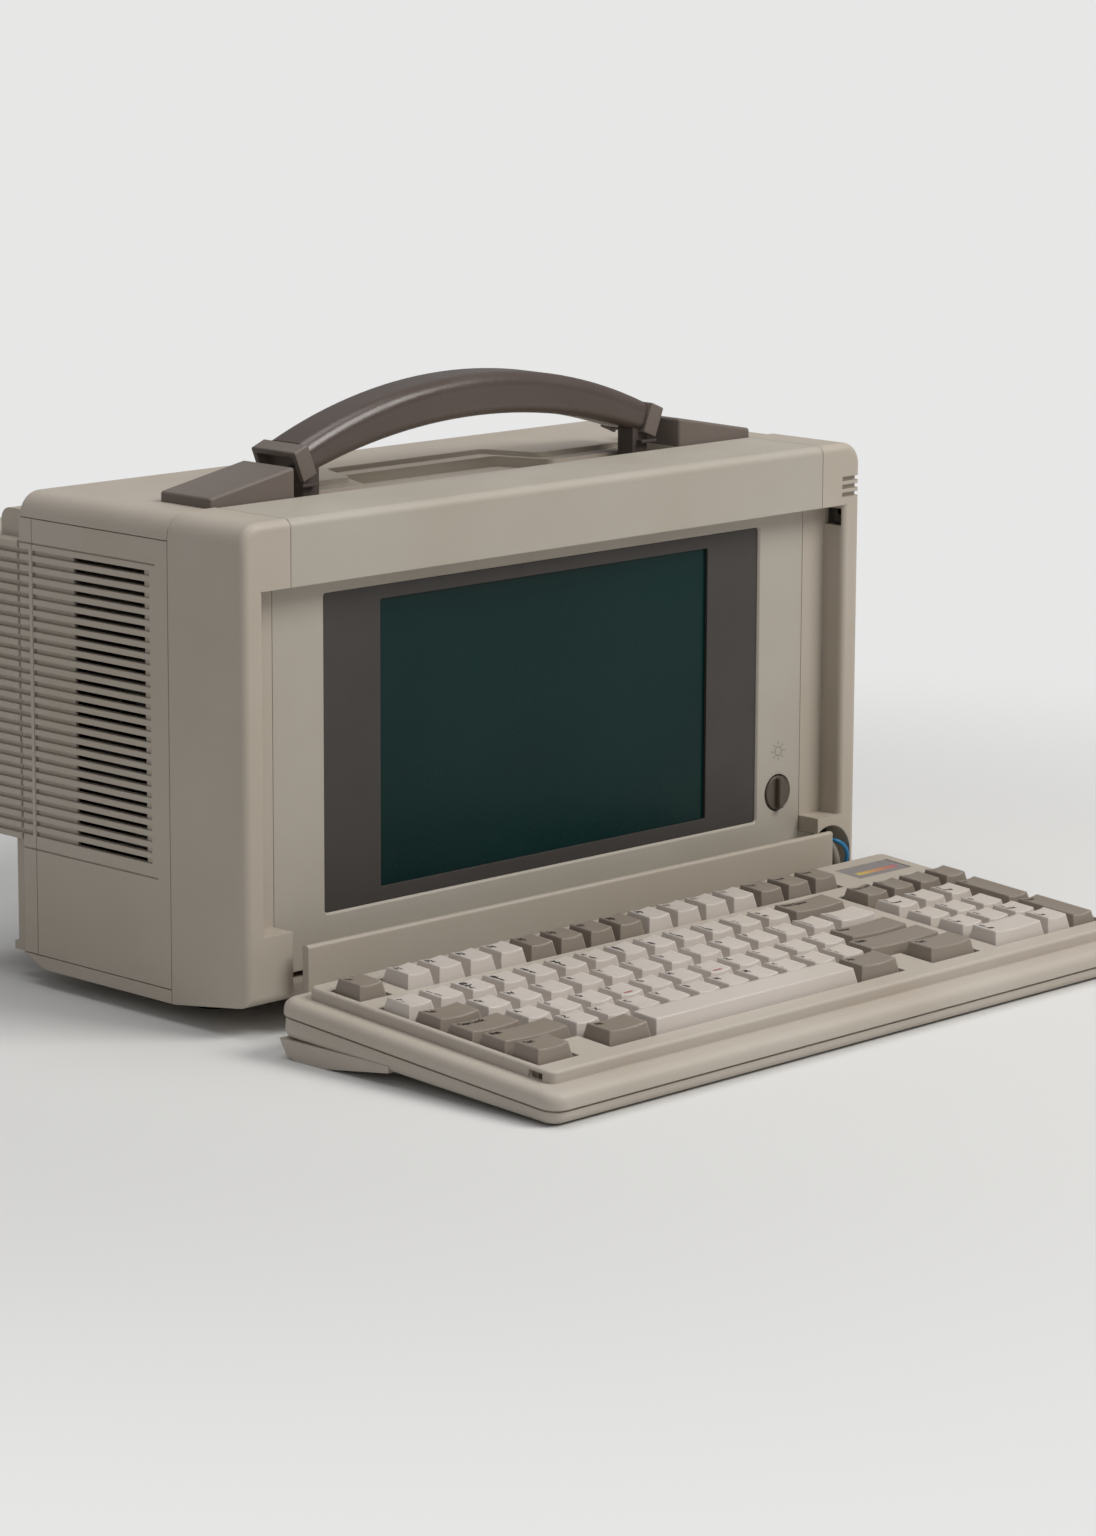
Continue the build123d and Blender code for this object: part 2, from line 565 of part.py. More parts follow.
def handle_post():
    """Block in the tray that carries collar and strap end, with a tab under the collar's front leg."""
    post = box(*POST_X, *POST_Y, TRAY_FLOOR, POST_TOP)
    collar_front = HANDLE_Y - COLLAR_W / 2
    post += box(POST_X[0] + 3, POST_X[1] + 3, collar_front, POST_Y[0] + 1, *POST_FOOT_Z)
    return post - handle_collar() - handle_grip()


# ================================================================ inside the case
def chassis_frame():
    z = CASE_BOTTOM + WALL
    front = FRAME_DEPTH + SEAM + WALL + FIT
    half = HALF_W - WALL - FIT
    floor = box(-half, half, front, TAIL_START - WALL - FIT, z, z + SHEET)
    wall = box(-half, half, front, front + SHEET, z, COVER_EDGE - 2)
    window = MODULE_HALF - 44.5
    wall -= box(-window, window, front - 1, front + SHEET + 1, 60, 190)
    shelf_top = FLOPPY_Z[0]
    x0, x1 = FLOPPY_X[0] + 23, FLOPPY_X[1] - 18.6
    shelf = box(x0, x1, *FLOPPY_Y, z, shelf_top)
    shelf -= box(x0 - 1, x1 + 1, FLOPPY_Y[0] + SHEET, FLOPPY_Y[1] - SHEET, z, shelf_top - SHEET)
    return floor + wall + shelf


CHASSIS_FLOOR = CASE_BOTTOM + WALL + SHEET


def power_supply():
    """Sheet box that the fan blows through."""
    x0, x1 = SUPPLY_X
    y0, y1 = SUPPLY_Y
    supply = box(x0, x1, y0, y1, CHASSIS_FLOOR, SUPPLY_TOP)
    supply = fillet(supply.edges().filter_by(Axis.Z), 1.0)
    supply -= box(x0 + SHEET, x1 - SHEET, y0 + SHEET, y1 - SHEET, CHASSIS_FLOOR + SHEET, SUPPLY_TOP - SHEET)
    supply += box(x0 + SHEET + 4, x1 - SHEET, y0 + SHEET, y1 - SHEET, CHASSIS_FLOOR + SHEET,
                  CHASSIS_FLOOR + SHEET + SUPPLY_CORE)
    return supply - rod((x0 - 1, FAN_Y, FAN_Z), "x", min(FAN_BORE_R, y1 - FAN_Y - 2 * SHEET), SHEET + 2)


def fan_housing():
    """Square fan frame with the strut cross and pin that carry the rotor."""
    x0, x1 = FAN_X
    half = FAN_SIZE / 2
    frame = box(x0, x1, FAN_Y - half, FAN_Y + half, FAN_Z - half, FAN_Z + half)
    frame -= rod((x0 - 1, FAN_Y, FAN_Z), "x", FAN_BORE_R, x1 - x0 + 2)
    frame += box(x1 - 3, x1, FAN_Y - FAN_BORE_R - 1, FAN_Y + FAN_BORE_R + 1, FAN_Z - 3, FAN_Z + 3)
    frame += box(x1 - 3, x1, FAN_Y - 3, FAN_Y + 3, FAN_Z - FAN_BORE_R - 1, FAN_Z + FAN_BORE_R + 1)
    return frame + rod((x0 + 3, FAN_Y, FAN_Z), "x", FAN_PIN_R, x1 - x0 - 3)


def fan_rotor():
    """Hub and twisted blades on the fan's pin."""
    x0, x1 = FAN_X[0] + 3, FAN_X[1] - 3 - FIT
    rotor = rod((x0, FAN_Y, FAN_Z), "x", FAN_HUB_R, x1 - x0)
    middle = (x0 + x1) / 2
    blade = box(x0 + 4, x1 - 4, FAN_Y - 0.8, FAN_Y + 0.8, FAN_Z + FAN_HUB_R - 2, FAN_Z + FAN_TIP_R)
    blade = blade.rotate(Axis((middle, FAN_Y, FAN_Z), (0, 0, 1)), FAN_TWIST)
    for i in range(FAN_BLADES):
        rotor += blade.rotate(Axis((0, FAN_Y, FAN_Z), (1, 0, 0)), 360 / FAN_BLADES * i)
    return rotor - rod((x0 - 1, FAN_Y, FAN_Z), "x", FAN_PIN_R + SHAFT_CLEAR, x1 - x0 + 2)


def hard_drive():
    drive = box(*DRIVE_X, *DRIVE_Y, CHASSIS_FLOOR, DRIVE_TOP)
    return fillet(drive.edges().filter_by(Axis.Z), 2.0)


def main_board():
    board = box(*BOARD_X, BOARD_Y, BOARD_Y + 1.6, *BOARD_Z)
    for x in (BOARD_X[0] + 8, BOARD_X[1] - 8):
        for z in (BOARD_Z[0] + 8, BOARD_Z[1] - 8):
            board += rod((x, BOARD_Y + 1.6, z), "y", 3.0, CASE_DEPTH - WALL - BOARD_Y - 1.6)
    for i in range(4):
        x = BOARD_X[0] + 30 + i * 60
        board += box(x, x + 38, BOARD_Y - 4, BOARD_Y, 120, 158)
    return board


def floppy_drive():
    """Drive case, open at its inner end, with the spindle block in it."""
    x0, x1 = FLOPPY_X
    y0, y1 = FLOPPY_Y[0] + FIT, FLOPPY_Y[1] - FIT
    z0, z1 = FLOPPY_Z[0], FLOPPY_Z[1] - FIT
    drive = box(x0, x1, y0, y1, z0, z1)
    drive -= box(x0 - 1, x1 - SHEET, y0 + SHEET, y1 - SHEET, z0 + SHEET, z1 - SHEET)
    middle = (x0 + x1) / 2
    return drive + box(middle - FLOPPY_CORE, middle + FLOPPY_CORE, y0, y0 + FLOPPY_CORE, z0, z1)


def floppy_bezel():
    x0, x1 = FLOPPY_X[1], HALF_W + 1.0
    bezel = box(x0, x1, FLOPPY_Y[0] + FIT, FLOPPY_Y[1] - FIT, FLOPPY_Z[0] + FIT, FLOPPY_Z[1] - FIT)
    bezel = fillet(bezel.faces().sort_by(Axis.X)[-1].edges(), 0.8)
    middle = (FLOPPY_Y[0] + FLOPPY_Y[1]) / 2
    bezel -= box(x0 + 1, x1 + 1, middle - 1.6, middle + 1.6, FLOPPY_Z[0] + 6, FLOPPY_Z[1] - 6)
    bezel += box(x0, x1, middle - 5, middle + 5, LEVER_Z - 6, LEVER_Z + 6)
    return bezel - rod((x0 - 1, middle, LEVER_Z), "x", LEVER_SHAFT_R + SHAFT_CLEAR, 10)


def floppy_lever():
    middle = (FLOPPY_Y[0] + FLOPPY_Y[1]) / 2
    outer = HALF_W + 1.0 + FIT
    lever = box(outer, outer + 5, middle - 4, middle + 4, LEVER_Z - 5, LEVER_Z + LEVER_L)
    lever = fillet(lever.edges().filter_by(Axis.X), 3.0)
    return lever + rod((FLOPPY_X[1] + 0.3, middle, LEVER_Z), "x", LEVER_SHAFT_R, outer - FLOPPY_X[1])


# ================================================================ back of the machine
def expansion_shell():
    shell = box(-HALF_W, HALF_W, BOX_FRONT, BOX_REAR, *BOX_Z)
    shell = fillet(edges_at(shell, Axis.Z, x=HALF_W, y=BOX_REAR), 4.0)
    shell = fillet(edges_at(shell, Axis.Y, x=HALF_W), 2.0)
    bump = box(-BUMP_HALF, BUMP_HALF, BOX_FRONT, BOX_FRONT + BUMP_DEPTH, BOX_Z[1] - 5, BUMP_TOP)
    bump = fillet(bump.edges().filter_by(Axis.X).group_by(Axis.Z)[-1], 6.0)
    shell += bump
    shell -= box(-HALF_W + WALL, HALF_W - WALL, BOX_FRONT - 1, BOX_REAR + 1, BOX_Z[0] + WALL, BOX_Z[1] - WALL)
    for x, z in screw_places():
        side = sorted((x * (1 - SCREW_HEAD_R / abs(x)), math.copysign(HALF_W - 1, x)))
        shell += box(*side, BOX_REAR - 25, BOX_REAR - 5, z - SCREW_HEAD_R, z + SCREW_HEAD_R)
        shell -= rod((x, BOX_REAR - 26, z), "y", SCREW_R + 0.1, 22)
    slots = [box(-HALF_W - 1, -HALF_W + LOUVRE_BLIND, BOX_FRONT - 1, BOX_REAR - 9,
                 z - LOUVRE_H / 2, z + LOUVRE_H / 2) for z in louvre_levels() if z > BOX_Z[0] + 3]
    return shell - slots


def screw_places():
    x = HALF_W - WALL - 10
    return [(sx * x, z) for sx in (-1, 1) for z in (BOX_Z[0] + WALL + 10, BOX_Z[1] - WALL - 10)]


def expansion_rear_plate():
    half = HALF_W - WALL - FIT
    z0, z1 = BOX_Z[0] + WALL + FIT, BOX_Z[1] - WALL - FIT
    plate = box(-half, half, BOX_REAR - 5, BOX_REAR - 2, z0, z1)
    plate = fillet(plate.edges().filter_by(Axis.Y), 1.0)
    for i in range(12):
        x = 60 + i * 8
        plate -= box(x, x + 3.5, BOX_REAR - 6, BOX_REAR, z0 + 40, z1 - 40)
    for z in (105.0, 125.3):
        plate -= box(-150, -30, BOX_REAR - 3.2, BOX_REAR, z, z + 16)
    for x, z in screw_places():
        plate -= rod((x, BOX_REAR - 6, z), "y", SCREW_R + 0.1, 10)
    return plate


def thumb_screws():
    screws = []
    for x, z in screw_places():
        head = rod((x, BOX_REAR - 2, z), "y", SCREW_HEAD_R, SCREW_HEAD_L)
        screws.append(head + rod((x, BOX_REAR - 12, z), "y", SCREW_R, 10.5))
    return group(*screws)


def expansion_board():
    board = box(-150, 60, BOX_FRONT + 4, BOX_FRONT + 5.6, 80, 198)
    for x in (-140, 50):
        for z in (90, 190):
            board += rod((x, CASE_DEPTH, z), "y", 3.0, BOX_FRONT + 4 - CASE_DEPTH)
    for z in (112.2, 132.5):
        board += box(-145, 55, BOX_FRONT + 5.6, BOX_REAR - 8, z, z + 1.6)
    return board


def connector_panel():
    bay = box(-BAY_HALF, BAY_HALF, BOX_FRONT - FIT, BAY_REAR, *BAY_Z)
    bay = fillet(edges_at(bay, Axis.Z, x=BAY_HALF, y=BAY_REAR), 2.0)
    bay -= box(-BAY_HALF + 2, BAY_HALF - 2, BOX_FRONT - 2, BAY_REAR - 2, BAY_Z[0] + 2, BAY_Z[1] - 2)
    bay += box(-BAY_HALF, BAY_HALF, BAY_REAR - 2, BAY_REAR + 1.5, BAY_Z[0], BAY_Z[0] + 4)
    wall = (BAY_REAR - 4, BAY_REAR + 4)
    bay -= box(INLET_X - 14, INLET_X + 14, *wall, PORT_Z - 12, PORT_Z + 12)
    bay -= box(SWITCH_X - 7 - FIT, SWITCH_X + 7 + FIT, *wall,
               PORT_Z - SWITCH_R - FIT, PORT_Z + SWITCH_R + FIT)
    for x, w in PORTS:
        bay -= box(x - w / 2, x + w / 2, *wall, PORT_Z - 4.4, PORT_Z + 4.4)
    return bay


PORTS = [(-40.0, 38.0), (20.0, 17.0), (60.0, 17.0)]


def power_inlet():
    y0 = BAY_REAR - 11
    body = box(INLET_X - 13.8, INLET_X + 13.8, y0, BAY_REAR, PORT_Z - 11.8, PORT_Z + 11.8)
    body += box(INLET_X - 16, INLET_X + 16, BAY_REAR, BAY_REAR + 2, PORT_Z - 14, PORT_Z + 14)
    cavity = box(INLET_X - 11, INLET_X + 11, y0 + 2, BAY_REAR + 3, PORT_Z - 8, PORT_Z + 8)
    body -= fillet(cavity.edges().filter_by(Axis.Y).group_by(Axis.Z)[-1], 5.0)
    for dx in (-7, 0, 7):
        body += box(INLET_X + dx - 1, INLET_X + dx + 1, y0 + 1, BAY_REAR - 2, PORT_Z - 3, PORT_Z + 1)
    return body


def power_switch():
    """Rocker: a slice of a drum about its pivot, with a face bent in the middle."""
    drum = rod((SWITCH_X - 7, SWITCH_PIVOT_Y, PORT_Z), "x", SWITCH_R, 14)
    bend = BAY_REAR + 0.6
    face = [(bend - 8, PORT_Z - 20), (bend, PORT_Z - 20), (bend, PORT_Z), (bend + 5.0, PORT_Z + 20),
            (bend - 8, PORT_Z + 20)]
    return drum & along_x(face, SWITCH_X - 8, SWITCH_X + 8)


def data_connectors():
    shells = []
    for x, w in PORTS:
        body = box(x - w / 2 + FIT, x + w / 2 - FIT, BAY_REAR - 9, BAY_REAR + 5, PORT_Z - 4.1, PORT_Z + 4.1)
        body = fillet(body.edges().filter_by(Axis.Y), 2.0)
        body -= box(x - w / 2 + 1.5, x + w / 2 - 1.5, BAY_REAR, BAY_REAR + 6, PORT_Z - 3, PORT_Z + 3)
        flange = box(x - w / 2 - 6, x + w / 2 + 6, BAY_REAR, BAY_REAR + 1, PORT_Z - 6, PORT_Z + 6)
        shells.append(body + (flange - box(x - w / 2 + 1.5, x + w / 2 - 1.5, BAY_REAR - 1, BAY_REAR + 6,
                                           PORT_Z - 3, PORT_Z + 3)))
    return group(*shells)


# ================================================================ display module
def display_housing():
    """Top bar and front panel in one moulding, hollow behind."""
    bar = box(-MODULE_HALF, MODULE_HALF, 0, BAR_REAR, RECESS_TOP, CASE_TOP)
    bar = fillet(edges_at(bar, Axis.X, y=0, z=CASE_TOP), BAR_ROUND)
    bar = fillet(edges_at(bar, Axis.X, y=BAR_REAR, z=CASE_TOP), 1.5)
    housing = bar + box(-MODULE_HALF, MODULE_HALF, RECESS_DEPTH, 22, MODULE_BOTTOM, RECESS_TOP + 1)
    inner = MODULE_HALF - WALL
    housing -= box(-inner, inner, WALL, BAR_REAR - WALL, RECESS_TOP + WALL, CASE_TOP - WALL)
    housing -= box(-inner, inner, RECESS_DEPTH + WALL, BAR_REAR - WALL, MODULE_BOTTOM + WALL,
                   RECESS_TOP + WALL + 1)
    z0, z1 = OPENING_Z
    opening = box(-OPENING_HALF, OPENING_HALF, RECESS_DEPTH - 1, RECESS_DEPTH + WALL + 1, z0, z1)
    housing -= fillet(opening.edges().filter_by(Axis.Y), 1.5)
    rim = housing.faces().filter_by(lambda f: abs(f.center().Y - RECESS_DEPTH) < 0.01).sort_by(Axis.Z)[0]
    inner_wire = rim.inner_wires()
    if inner_wire:
        housing = chamfer(inner_wire[0].edges(), BEVEL)
    boss = rod((KNOB_X, RECESS_DEPTH + 1, KNOB_Z), "y", KNOB_WELL_R + 2, KNOB_WELL + 2)
    housing += boss
    housing -= rod((KNOB_X, RECESS_DEPTH - 1, KNOB_Z), "y", KNOB_WELL_R, KNOB_WELL + 1)
    housing -= rod((KNOB_X, RECESS_DEPTH, KNOB_Z), "y", KNOB_SHAFT_R + SHAFT_CLEAR, 20)
    return housing


BEZEL_FRONT = RECESS_DEPTH + BEZEL_SET_BACK
FLANGE_Y = RECESS_DEPTH + WALL
GLASS_FRONT = BEZEL_FRONT + GLASS_SET_BACK
GLASS_REAR = GLASS_FRONT + GLASS_THICK


def display_bezel():
    z0, z1 = OPENING_Z
    half = OPENING_HALF
    face = box(-half + 0.1, half - 0.1, BEZEL_FRONT, GLASS_REAR, z0 + 0.1, z1 - 0.1)
    face = fillet(face.edges().filter_by(Axis.Y), 1.4)
    flange = box(-half - BEZEL_FLANGE, half + BEZEL_FLANGE, FLANGE_Y, GLASS_REAR,
                 z0 - BEZEL_FLANGE, z1 + BEZEL_FLANGE)
    bezel = face + flange
    window = box(-GLASS_HALF, GLASS_HALF, BEZEL_FRONT - 1, GLASS_REAR + 1, *GLASS_Z)
    bezel -= fillet(window.edges().filter_by(Axis.Y), 1.0)
    pocket = GLASS_MARGIN + 0.1
    bezel -= box(-GLASS_HALF - pocket, GLASS_HALF + pocket, GLASS_FRONT, GLASS_REAR + 1,
                 GLASS_Z[0] - pocket, GLASS_Z[1] + pocket)
    return bezel


def display_glass():
    return box(-GLASS_HALF - GLASS_MARGIN, GLASS_HALF + GLASS_MARGIN, GLASS_FRONT, GLASS_REAR,
               GLASS_Z[0] - GLASS_MARGIN, GLASS_Z[1] + GLASS_MARGIN)


def plasma_panel():
    return box(-GLASS_HALF - 14, GLASS_HALF + 14, GLASS_REAR, GLASS_REAR + PANEL_THICK,
               GLASS_Z[0] - 8, GLASS_Z[1] + 8)


def display_rear_cover():
    tub = box(-TUB_HALF, TUB_HALF, FLANGE_Y, TUB_REAR, *TUB_Z)
    tub = fillet(tub.faces().sort_by(Axis.Y)[-1].edges(), 3.0)
    tub -= box(-TUB_HALF + TUB_WALL, TUB_HALF - TUB_WALL, FLANGE_Y - 1, TUB_REAR - TUB_WALL,
               TUB_Z[0] + TUB_WALL, TUB_Z[1] - TUB_WALL)
    # notch that leaves the brightness control free
    tub -= box(KNOB_X - KNOB_WELL_R - 3, TUB_HALF + 1, FLANGE_Y - 1, FLANGE_Y + 14,
               KNOB_Z - KNOB_WELL_R - 3, KNOB_Z + KNOB_WELL_R + 3)
    return tub


def tilt_pins():
    pin = rod((ARM_X[0] - 3, TILT_Y, TILT_Z), "x", PIN_R, MODULE_HALF - WALL - ARM_X[0] + 3)
    return group(pin, other_side(pin))


def display_carriage():
    """Bent bracket that slides up in the frame and carries the display's hinge."""
    plate = box(-ARM_X[1], ARM_X[1], *PLATE_Y, 60, 180)
    plate -= box(-120, 120, PLATE_Y[0] - 1, PLATE_Y[1] + 1, 90, 150)
    arm = box(*ARM_X, ARM_FRONT, PLATE_Y[1], *ARM_Z)
    neck = along_x([(ARM_FRONT, ARM_Z[1] - 1), (TILT_Y - 3.3, TILT_Z), (TILT_Y + 3.3, TILT_Z),
                    (PLATE_Y[1] - 3.2, ARM_Z[1] - 1)], *ARM_X)
    ear = rod((ARM_X[0], TILT_Y, TILT_Z), "x", 3.4, ARM_X[1] - ARM_X[0])
    bore = rod((ARM_X[0] - 1, TILT_Y, TILT_Z), "x", PIN_R + PIN_CLEAR, 10)
    shoe = box(ARM_X[1] - 0.5, PASSAGE_HALF + WALL - FIT, *SHOE_Y, *SHOE_Z)
    side = arm + neck + ear + shoe - bore
    return plate + side + other_side(side)


def brightness_knob():
    front = RECESS_DEPTH - 0.6
    seat = RECESS_DEPTH + KNOB_WELL - FIT
    knob = rod((KNOB_X, front, KNOB_Z), "y", KNOB_R, seat - front)
    knob = fillet(knob.edges().group_by(Axis.Y)[0], 0.8)
    rib = box(KNOB_X - 1.6, KNOB_X + 1.6, front - 2.6, front + 1, KNOB_Z - KNOB_R + 1, KNOB_Z + KNOB_R - 1)
    rib = fillet(rib.edges().filter_by(Axis.Z).group_by(Axis.Y)[0], 1.0)
    shaft = rod((KNOB_X, seat - 1, KNOB_Z), "y", KNOB_SHAFT_R, 9)
    return knob + rib + shaft


# ================================================================ keyboard, in its own frame
# x to the right, y towards its rear edge at y = 0, z square to the parting plane
TURN = math.radians(KEYS_TURN)
TILT = math.radians(KEYS_TILT)
KEYS_AXIS_X = (math.cos(TURN), math.sin(TURN), 0.0)
KEYS_NORMAL = (math.sin(TURN) * math.sin(TILT), -math.cos(TURN) * math.sin(TILT), math.cos(TILT))
KEYS_PLANE = Plane(origin=(KEYS_X, KEYS_Y, KEYS_Z), x_dir=KEYS_AXIS_X, z_dir=KEYS_NORMAL)
BLOCK_LEFT = -(19 * PITCH + KEYPAD_GAP) / 2
KEYPAD_LEFT = BLOCK_LEFT + 15 * PITCH + KEYPAD_GAP
ROW_Y = [FRONT_ROW_Y + i * ROW_PITCH for i in range(5)] + [FUNCTION_ROW_Y]
ROW_TOP = [18.4, 16.9, 16.0, 16.6, 17.6, 18.6]   # cap tops above the parting plane, front row first


class Key:
    """One key cap: row, left edge in key widths, width, and rows covered."""

    def __init__(self, row, left, width=1.0, rows=1, pad=False):
        start = KEYPAD_LEFT if pad else BLOCK_LEFT
        self.x = start + (left + width / 2) * PITCH
        self.w = width * PITCH
        self.y = ROW_Y[row] + (rows - 1) * ROW_PITCH / 2
        self.d = rows * ROW_PITCH
        self.top = ROW_TOP[row + rows - 1]


def run(row, left, count, pad=False):
    """Neighbouring keys of one width."""
    return [Key(row, left + i, pad=pad) for i in range(count)]


KEYS = {
    "function_keys_light": run(5, 1.5, 4) + run(5, 9.5, 4),
    "function_keys_grey": run(5, 0, 1) + run(5, 5.5, 4) + run(5, 13.5, 3),
    "number_row_keys": run(4, 0, 13),
    "top_letter_keys": run(3, 1.5, 12) + [Key(3, 13.5, 1.5)],
    "home_letter_keys": run(2, 1.75, 11),
    "bottom_letter_keys": run(1, 2.25, 10),
    "left_edge_keys": [Key(3, 0, 1.5), Key(2, 0, 1.75), Key(1, 0, 2.25)],
    "right_edge_keys": [Key(4, 13, 2), Key(2, 12.75, 2.25), Key(1, 12.25, 2.75)],
    "control_keys": [Key(0, 0, 1.25), Key(0, 2.25, 1.5), Key(0, 10.75, 1.5), Key(0, 13.25, 1.75)],
    "space_bar": [Key(0, 3.75, 7)],
    "keypad_digit_keys": [Key(r, c, pad=True) for r in (1, 2, 3) for c in (0, 1, 2)]
                         + [Key(0, 0, 2, pad=True), Key(0, 2, pad=True)],
    "keypad_grey_keys": run(4, 0, 4, pad=True) + [Key(2, 3, rows=2, pad=True), Key(0, 3, rows=2, pad=True)],
}


def key_cap(key):
    """Tapered cap with a shallow dish, and the stem below it."""
    w, d = key.w - KEY_GAP, key.d - KEY_GAP
    low = Pos(key.x, key.y, KEY_BOTTOM) * Rectangle(w, d)
    high = Pos(key.x, key.y + KEY_TOP_BACK, key.top) * Rectangle(w - 2 * KEY_TAPER, d - 2 * KEY_TAPER)
    cap = loft([low, high], ruled=True)
    half = w / 2 - KEY_TAPER
    dish_r = (half ** 2 + DISH_DEPTH ** 2) / (2 * DISH_DEPTH)
    if key.w < DISH_WIDEST * PITCH:
        cap -= rod((key.x, key.y - d, key.top + dish_r - DISH_DEPTH), "y", dish_r, 2 * d)
    return cap + box(key.x - STEM / 2, key.x + STEM / 2, key.y - STEM / 2, key.y + STEM / 2,
                     STEM_BOTTOM, KEY_BOTTOM + 1)


def key_cells(grow):
    """Footprints of all keys, grown a little, as one outline."""
    cells = [Pos(key.x, key.y, 0) * Rectangle(key.w + 2 * grow, key.d + 2 * grow)
             for keys in KEYS.values() for key in keys]
    return cells[0].fuse(*cells[1:]).clean()


def keyboard_top_shell():
    half = KEYS_W / 2
    flange = Pos(0, -KEYS_L / 2, 0) * extrude(RectangleRounded(KEYS_W, KEYS_L, KEYS_CORNER), FLANGE_H)
    flange = fillet(flange.edges().group_by(Axis.Z)[-1], FLANGE_ROUND)
    rise_w = KEYS_W - 2 * PLATEAU_SIDE
    rise_l = KEYS_L - PLATEAU_FRONT - PLATEAU_REAR
    rise_y = -PLATEAU_REAR - rise_l / 2
    rise = Pos(0, rise_y, FLANGE_H - 2) * extrude(
        RectangleRounded(rise_w, rise_l, PLATEAU_CORNER), PLATEAU_H - FLANGE_H + 2)
    rise = fillet(rise.edges().group_by(Axis.Z)[-1], PLATEAU_ROUND)
    shell = flange + rise
    shell -= Pos(0, -KEYS_L / 2, 0) * extrude(
        RectangleRounded(KEYS_W - 5, KEYS_L - 5, KEYS_CORNER - 2.5), FLANGE_H - TOP_WALL - 1)
    shell -= Pos(0, rise_y, 0) * extrude(
        RectangleRounded(rise_w - 2 * TOP_WALL, rise_l - 2 * TOP_WALL, 2.0), PLATEAU_H - TOP_WALL)
    well = Pos(0, 0, PLATEAU_H - TOP_WALL - 1) * extrude(key_cells(0.1), 10)
    shell -= well
    shell -= box(*LABEL_X, *LABEL_Y, PLATEAU_H - LABEL_DEPTH, PLATEAU_H + 1)
    for side in (-1, 1):
        x = sorted((side * (half - PLATEAU_SIDE - 3), side * (half - PLATEAU_SIDE + 1)))
        shell -= box(*x, *CATCH_SLOT_Y, *[FLANGE_H + z for z in CATCH_SLOT_Z])
    # rim inside that the key plate is screwed against
    rim = RectangleRounded(rise_w, rise_l, PLATEAU_CORNER) \
        - RectangleRounded(rise_w - 2 * TOP_WALL, rise_l - 2 * TOP_WALL, 2.0)
    return shell + Pos(0, rise_y, PLATE_Z[1]) * extrude(rim, FLANGE_H - TOP_WALL - PLATE_Z[1])


def lower_shell_body():
    """Outer form of the lower shell, deeper towards the rear."""
    half = KEYS_W / 2 - SHELL_INSET
    rear, front = -SHELL_INSET, -KEYS_L + SHELL_INSET
    body = along_x([(rear, 0), (rear, -SHELL_REAR_D), (front, -SHELL_FRONT_D), (front, 0)], -half, half)
    body = fillet(body.edges().filter_by(Axis.Z), KEYS_CORNER - SHELL_INSET)
    return fillet(body.faces().sort_by(Axis.Z)[0].edges(), SHELL_ROUND)


def keyboard_bottom_shell():
    half = KEYS_W / 2 - SHELL_INSET - TOP_WALL
    rear, front = -SHELL_INSET - TOP_WALL, -KEYS_L + SHELL_INSET + TOP_WALL
    inner = along_x([(rear, 1), (rear, -SHELL_REAR_D + FLOOR_WALL), (front, -SHELL_FRONT_D + FLOOR_WALL),
                     (front, 1)], -half, half)
    inner = fillet(inner.edges().filter_by(Axis.Z), KEYS_CORNER - SHELL_INSET - TOP_WALL)
    outer = RectangleRounded(KEYS_W, KEYS_L, KEYS_CORNER)
    kept = RectangleRounded(2 * half + TOP_WALL, KEYS_L - 2 * SHELL_INSET - TOP_WALL,
                            KEYS_CORNER - SHELL_INSET - TOP_WALL / 2)
    groove = Pos(0, -KEYS_L / 2, -PARTING_GAP) * extrude(outer - kept, PARTING_GAP + 1)
    return lower_shell_body() - inner - groove


def key_plate():
    """Stiff plate that guides the key stems."""
    z0, z1 = PLATE_Z
    half = KEYS_W / 2 - PLATEAU_SIDE - 0.2
    plate = box(-half, half, -KEYS_L + PLATEAU_FRONT + 0.2, -PLATEAU_REAR - 0.2, z0, z1)
    hole = STEM / 2 + FIT
    holes = [box(key.x - hole, key.x + hole, key.y - hole, key.y + hole, z0 - 1, z1 + 1)
             for keys in KEYS.values() for key in keys]
    return plate - holes


def keyboard_board():
    board = box(BLOCK_LEFT + 4, -BLOCK_LEFT - 4, FRONT_ROW_Y - 4, FUNCTION_ROW_Y + 6, *KEY_BOARD_Z)
    for x in (-150, 0, 150):
        for y in (FRONT_ROW_Y + ROW_PITCH / 2, FUNCTION_ROW_Y - ROW_PITCH * 0.75):
            board += rod((x + 2, y, KEY_BOARD_Z[1]), "z", 1.5, PLATE_Z[0] - KEY_BOARD_Z[1])
    return board


# ================================================================ feet under the keyboard
def on_floor(shape):
    """Place a piece that stands on the floor and is only turned like the keyboard."""
    return Plane(origin=(KEYS_X, KEYS_Y, 0), x_dir=KEYS_AXIS_X, z_dir=(0, 0, 1)).location * shape


def keyboard_feet():
    """Wedges under the rear corners and pads under the front ones, cut to the lower shell."""
    outline = [(-1.7, RISER_TOP), (-3.2, 6.0), (-6.7, 1.6), (-11.7, 0.0), (-RISER_SOLE, 0.0),
               (-RISER_L, 5.6), (-RISER_L, RISER_TOP)]
    riser = along_x(outline, *RISER_X)
    pad = rod((PAD_X, PAD_Y, 0), "z", PAD_R, 4)
    body = on_keyboard(lower_shell_body())
    return group(*[on_floor(foot) - body for foot in (riser, other_side(riser), pad, other_side(pad))])


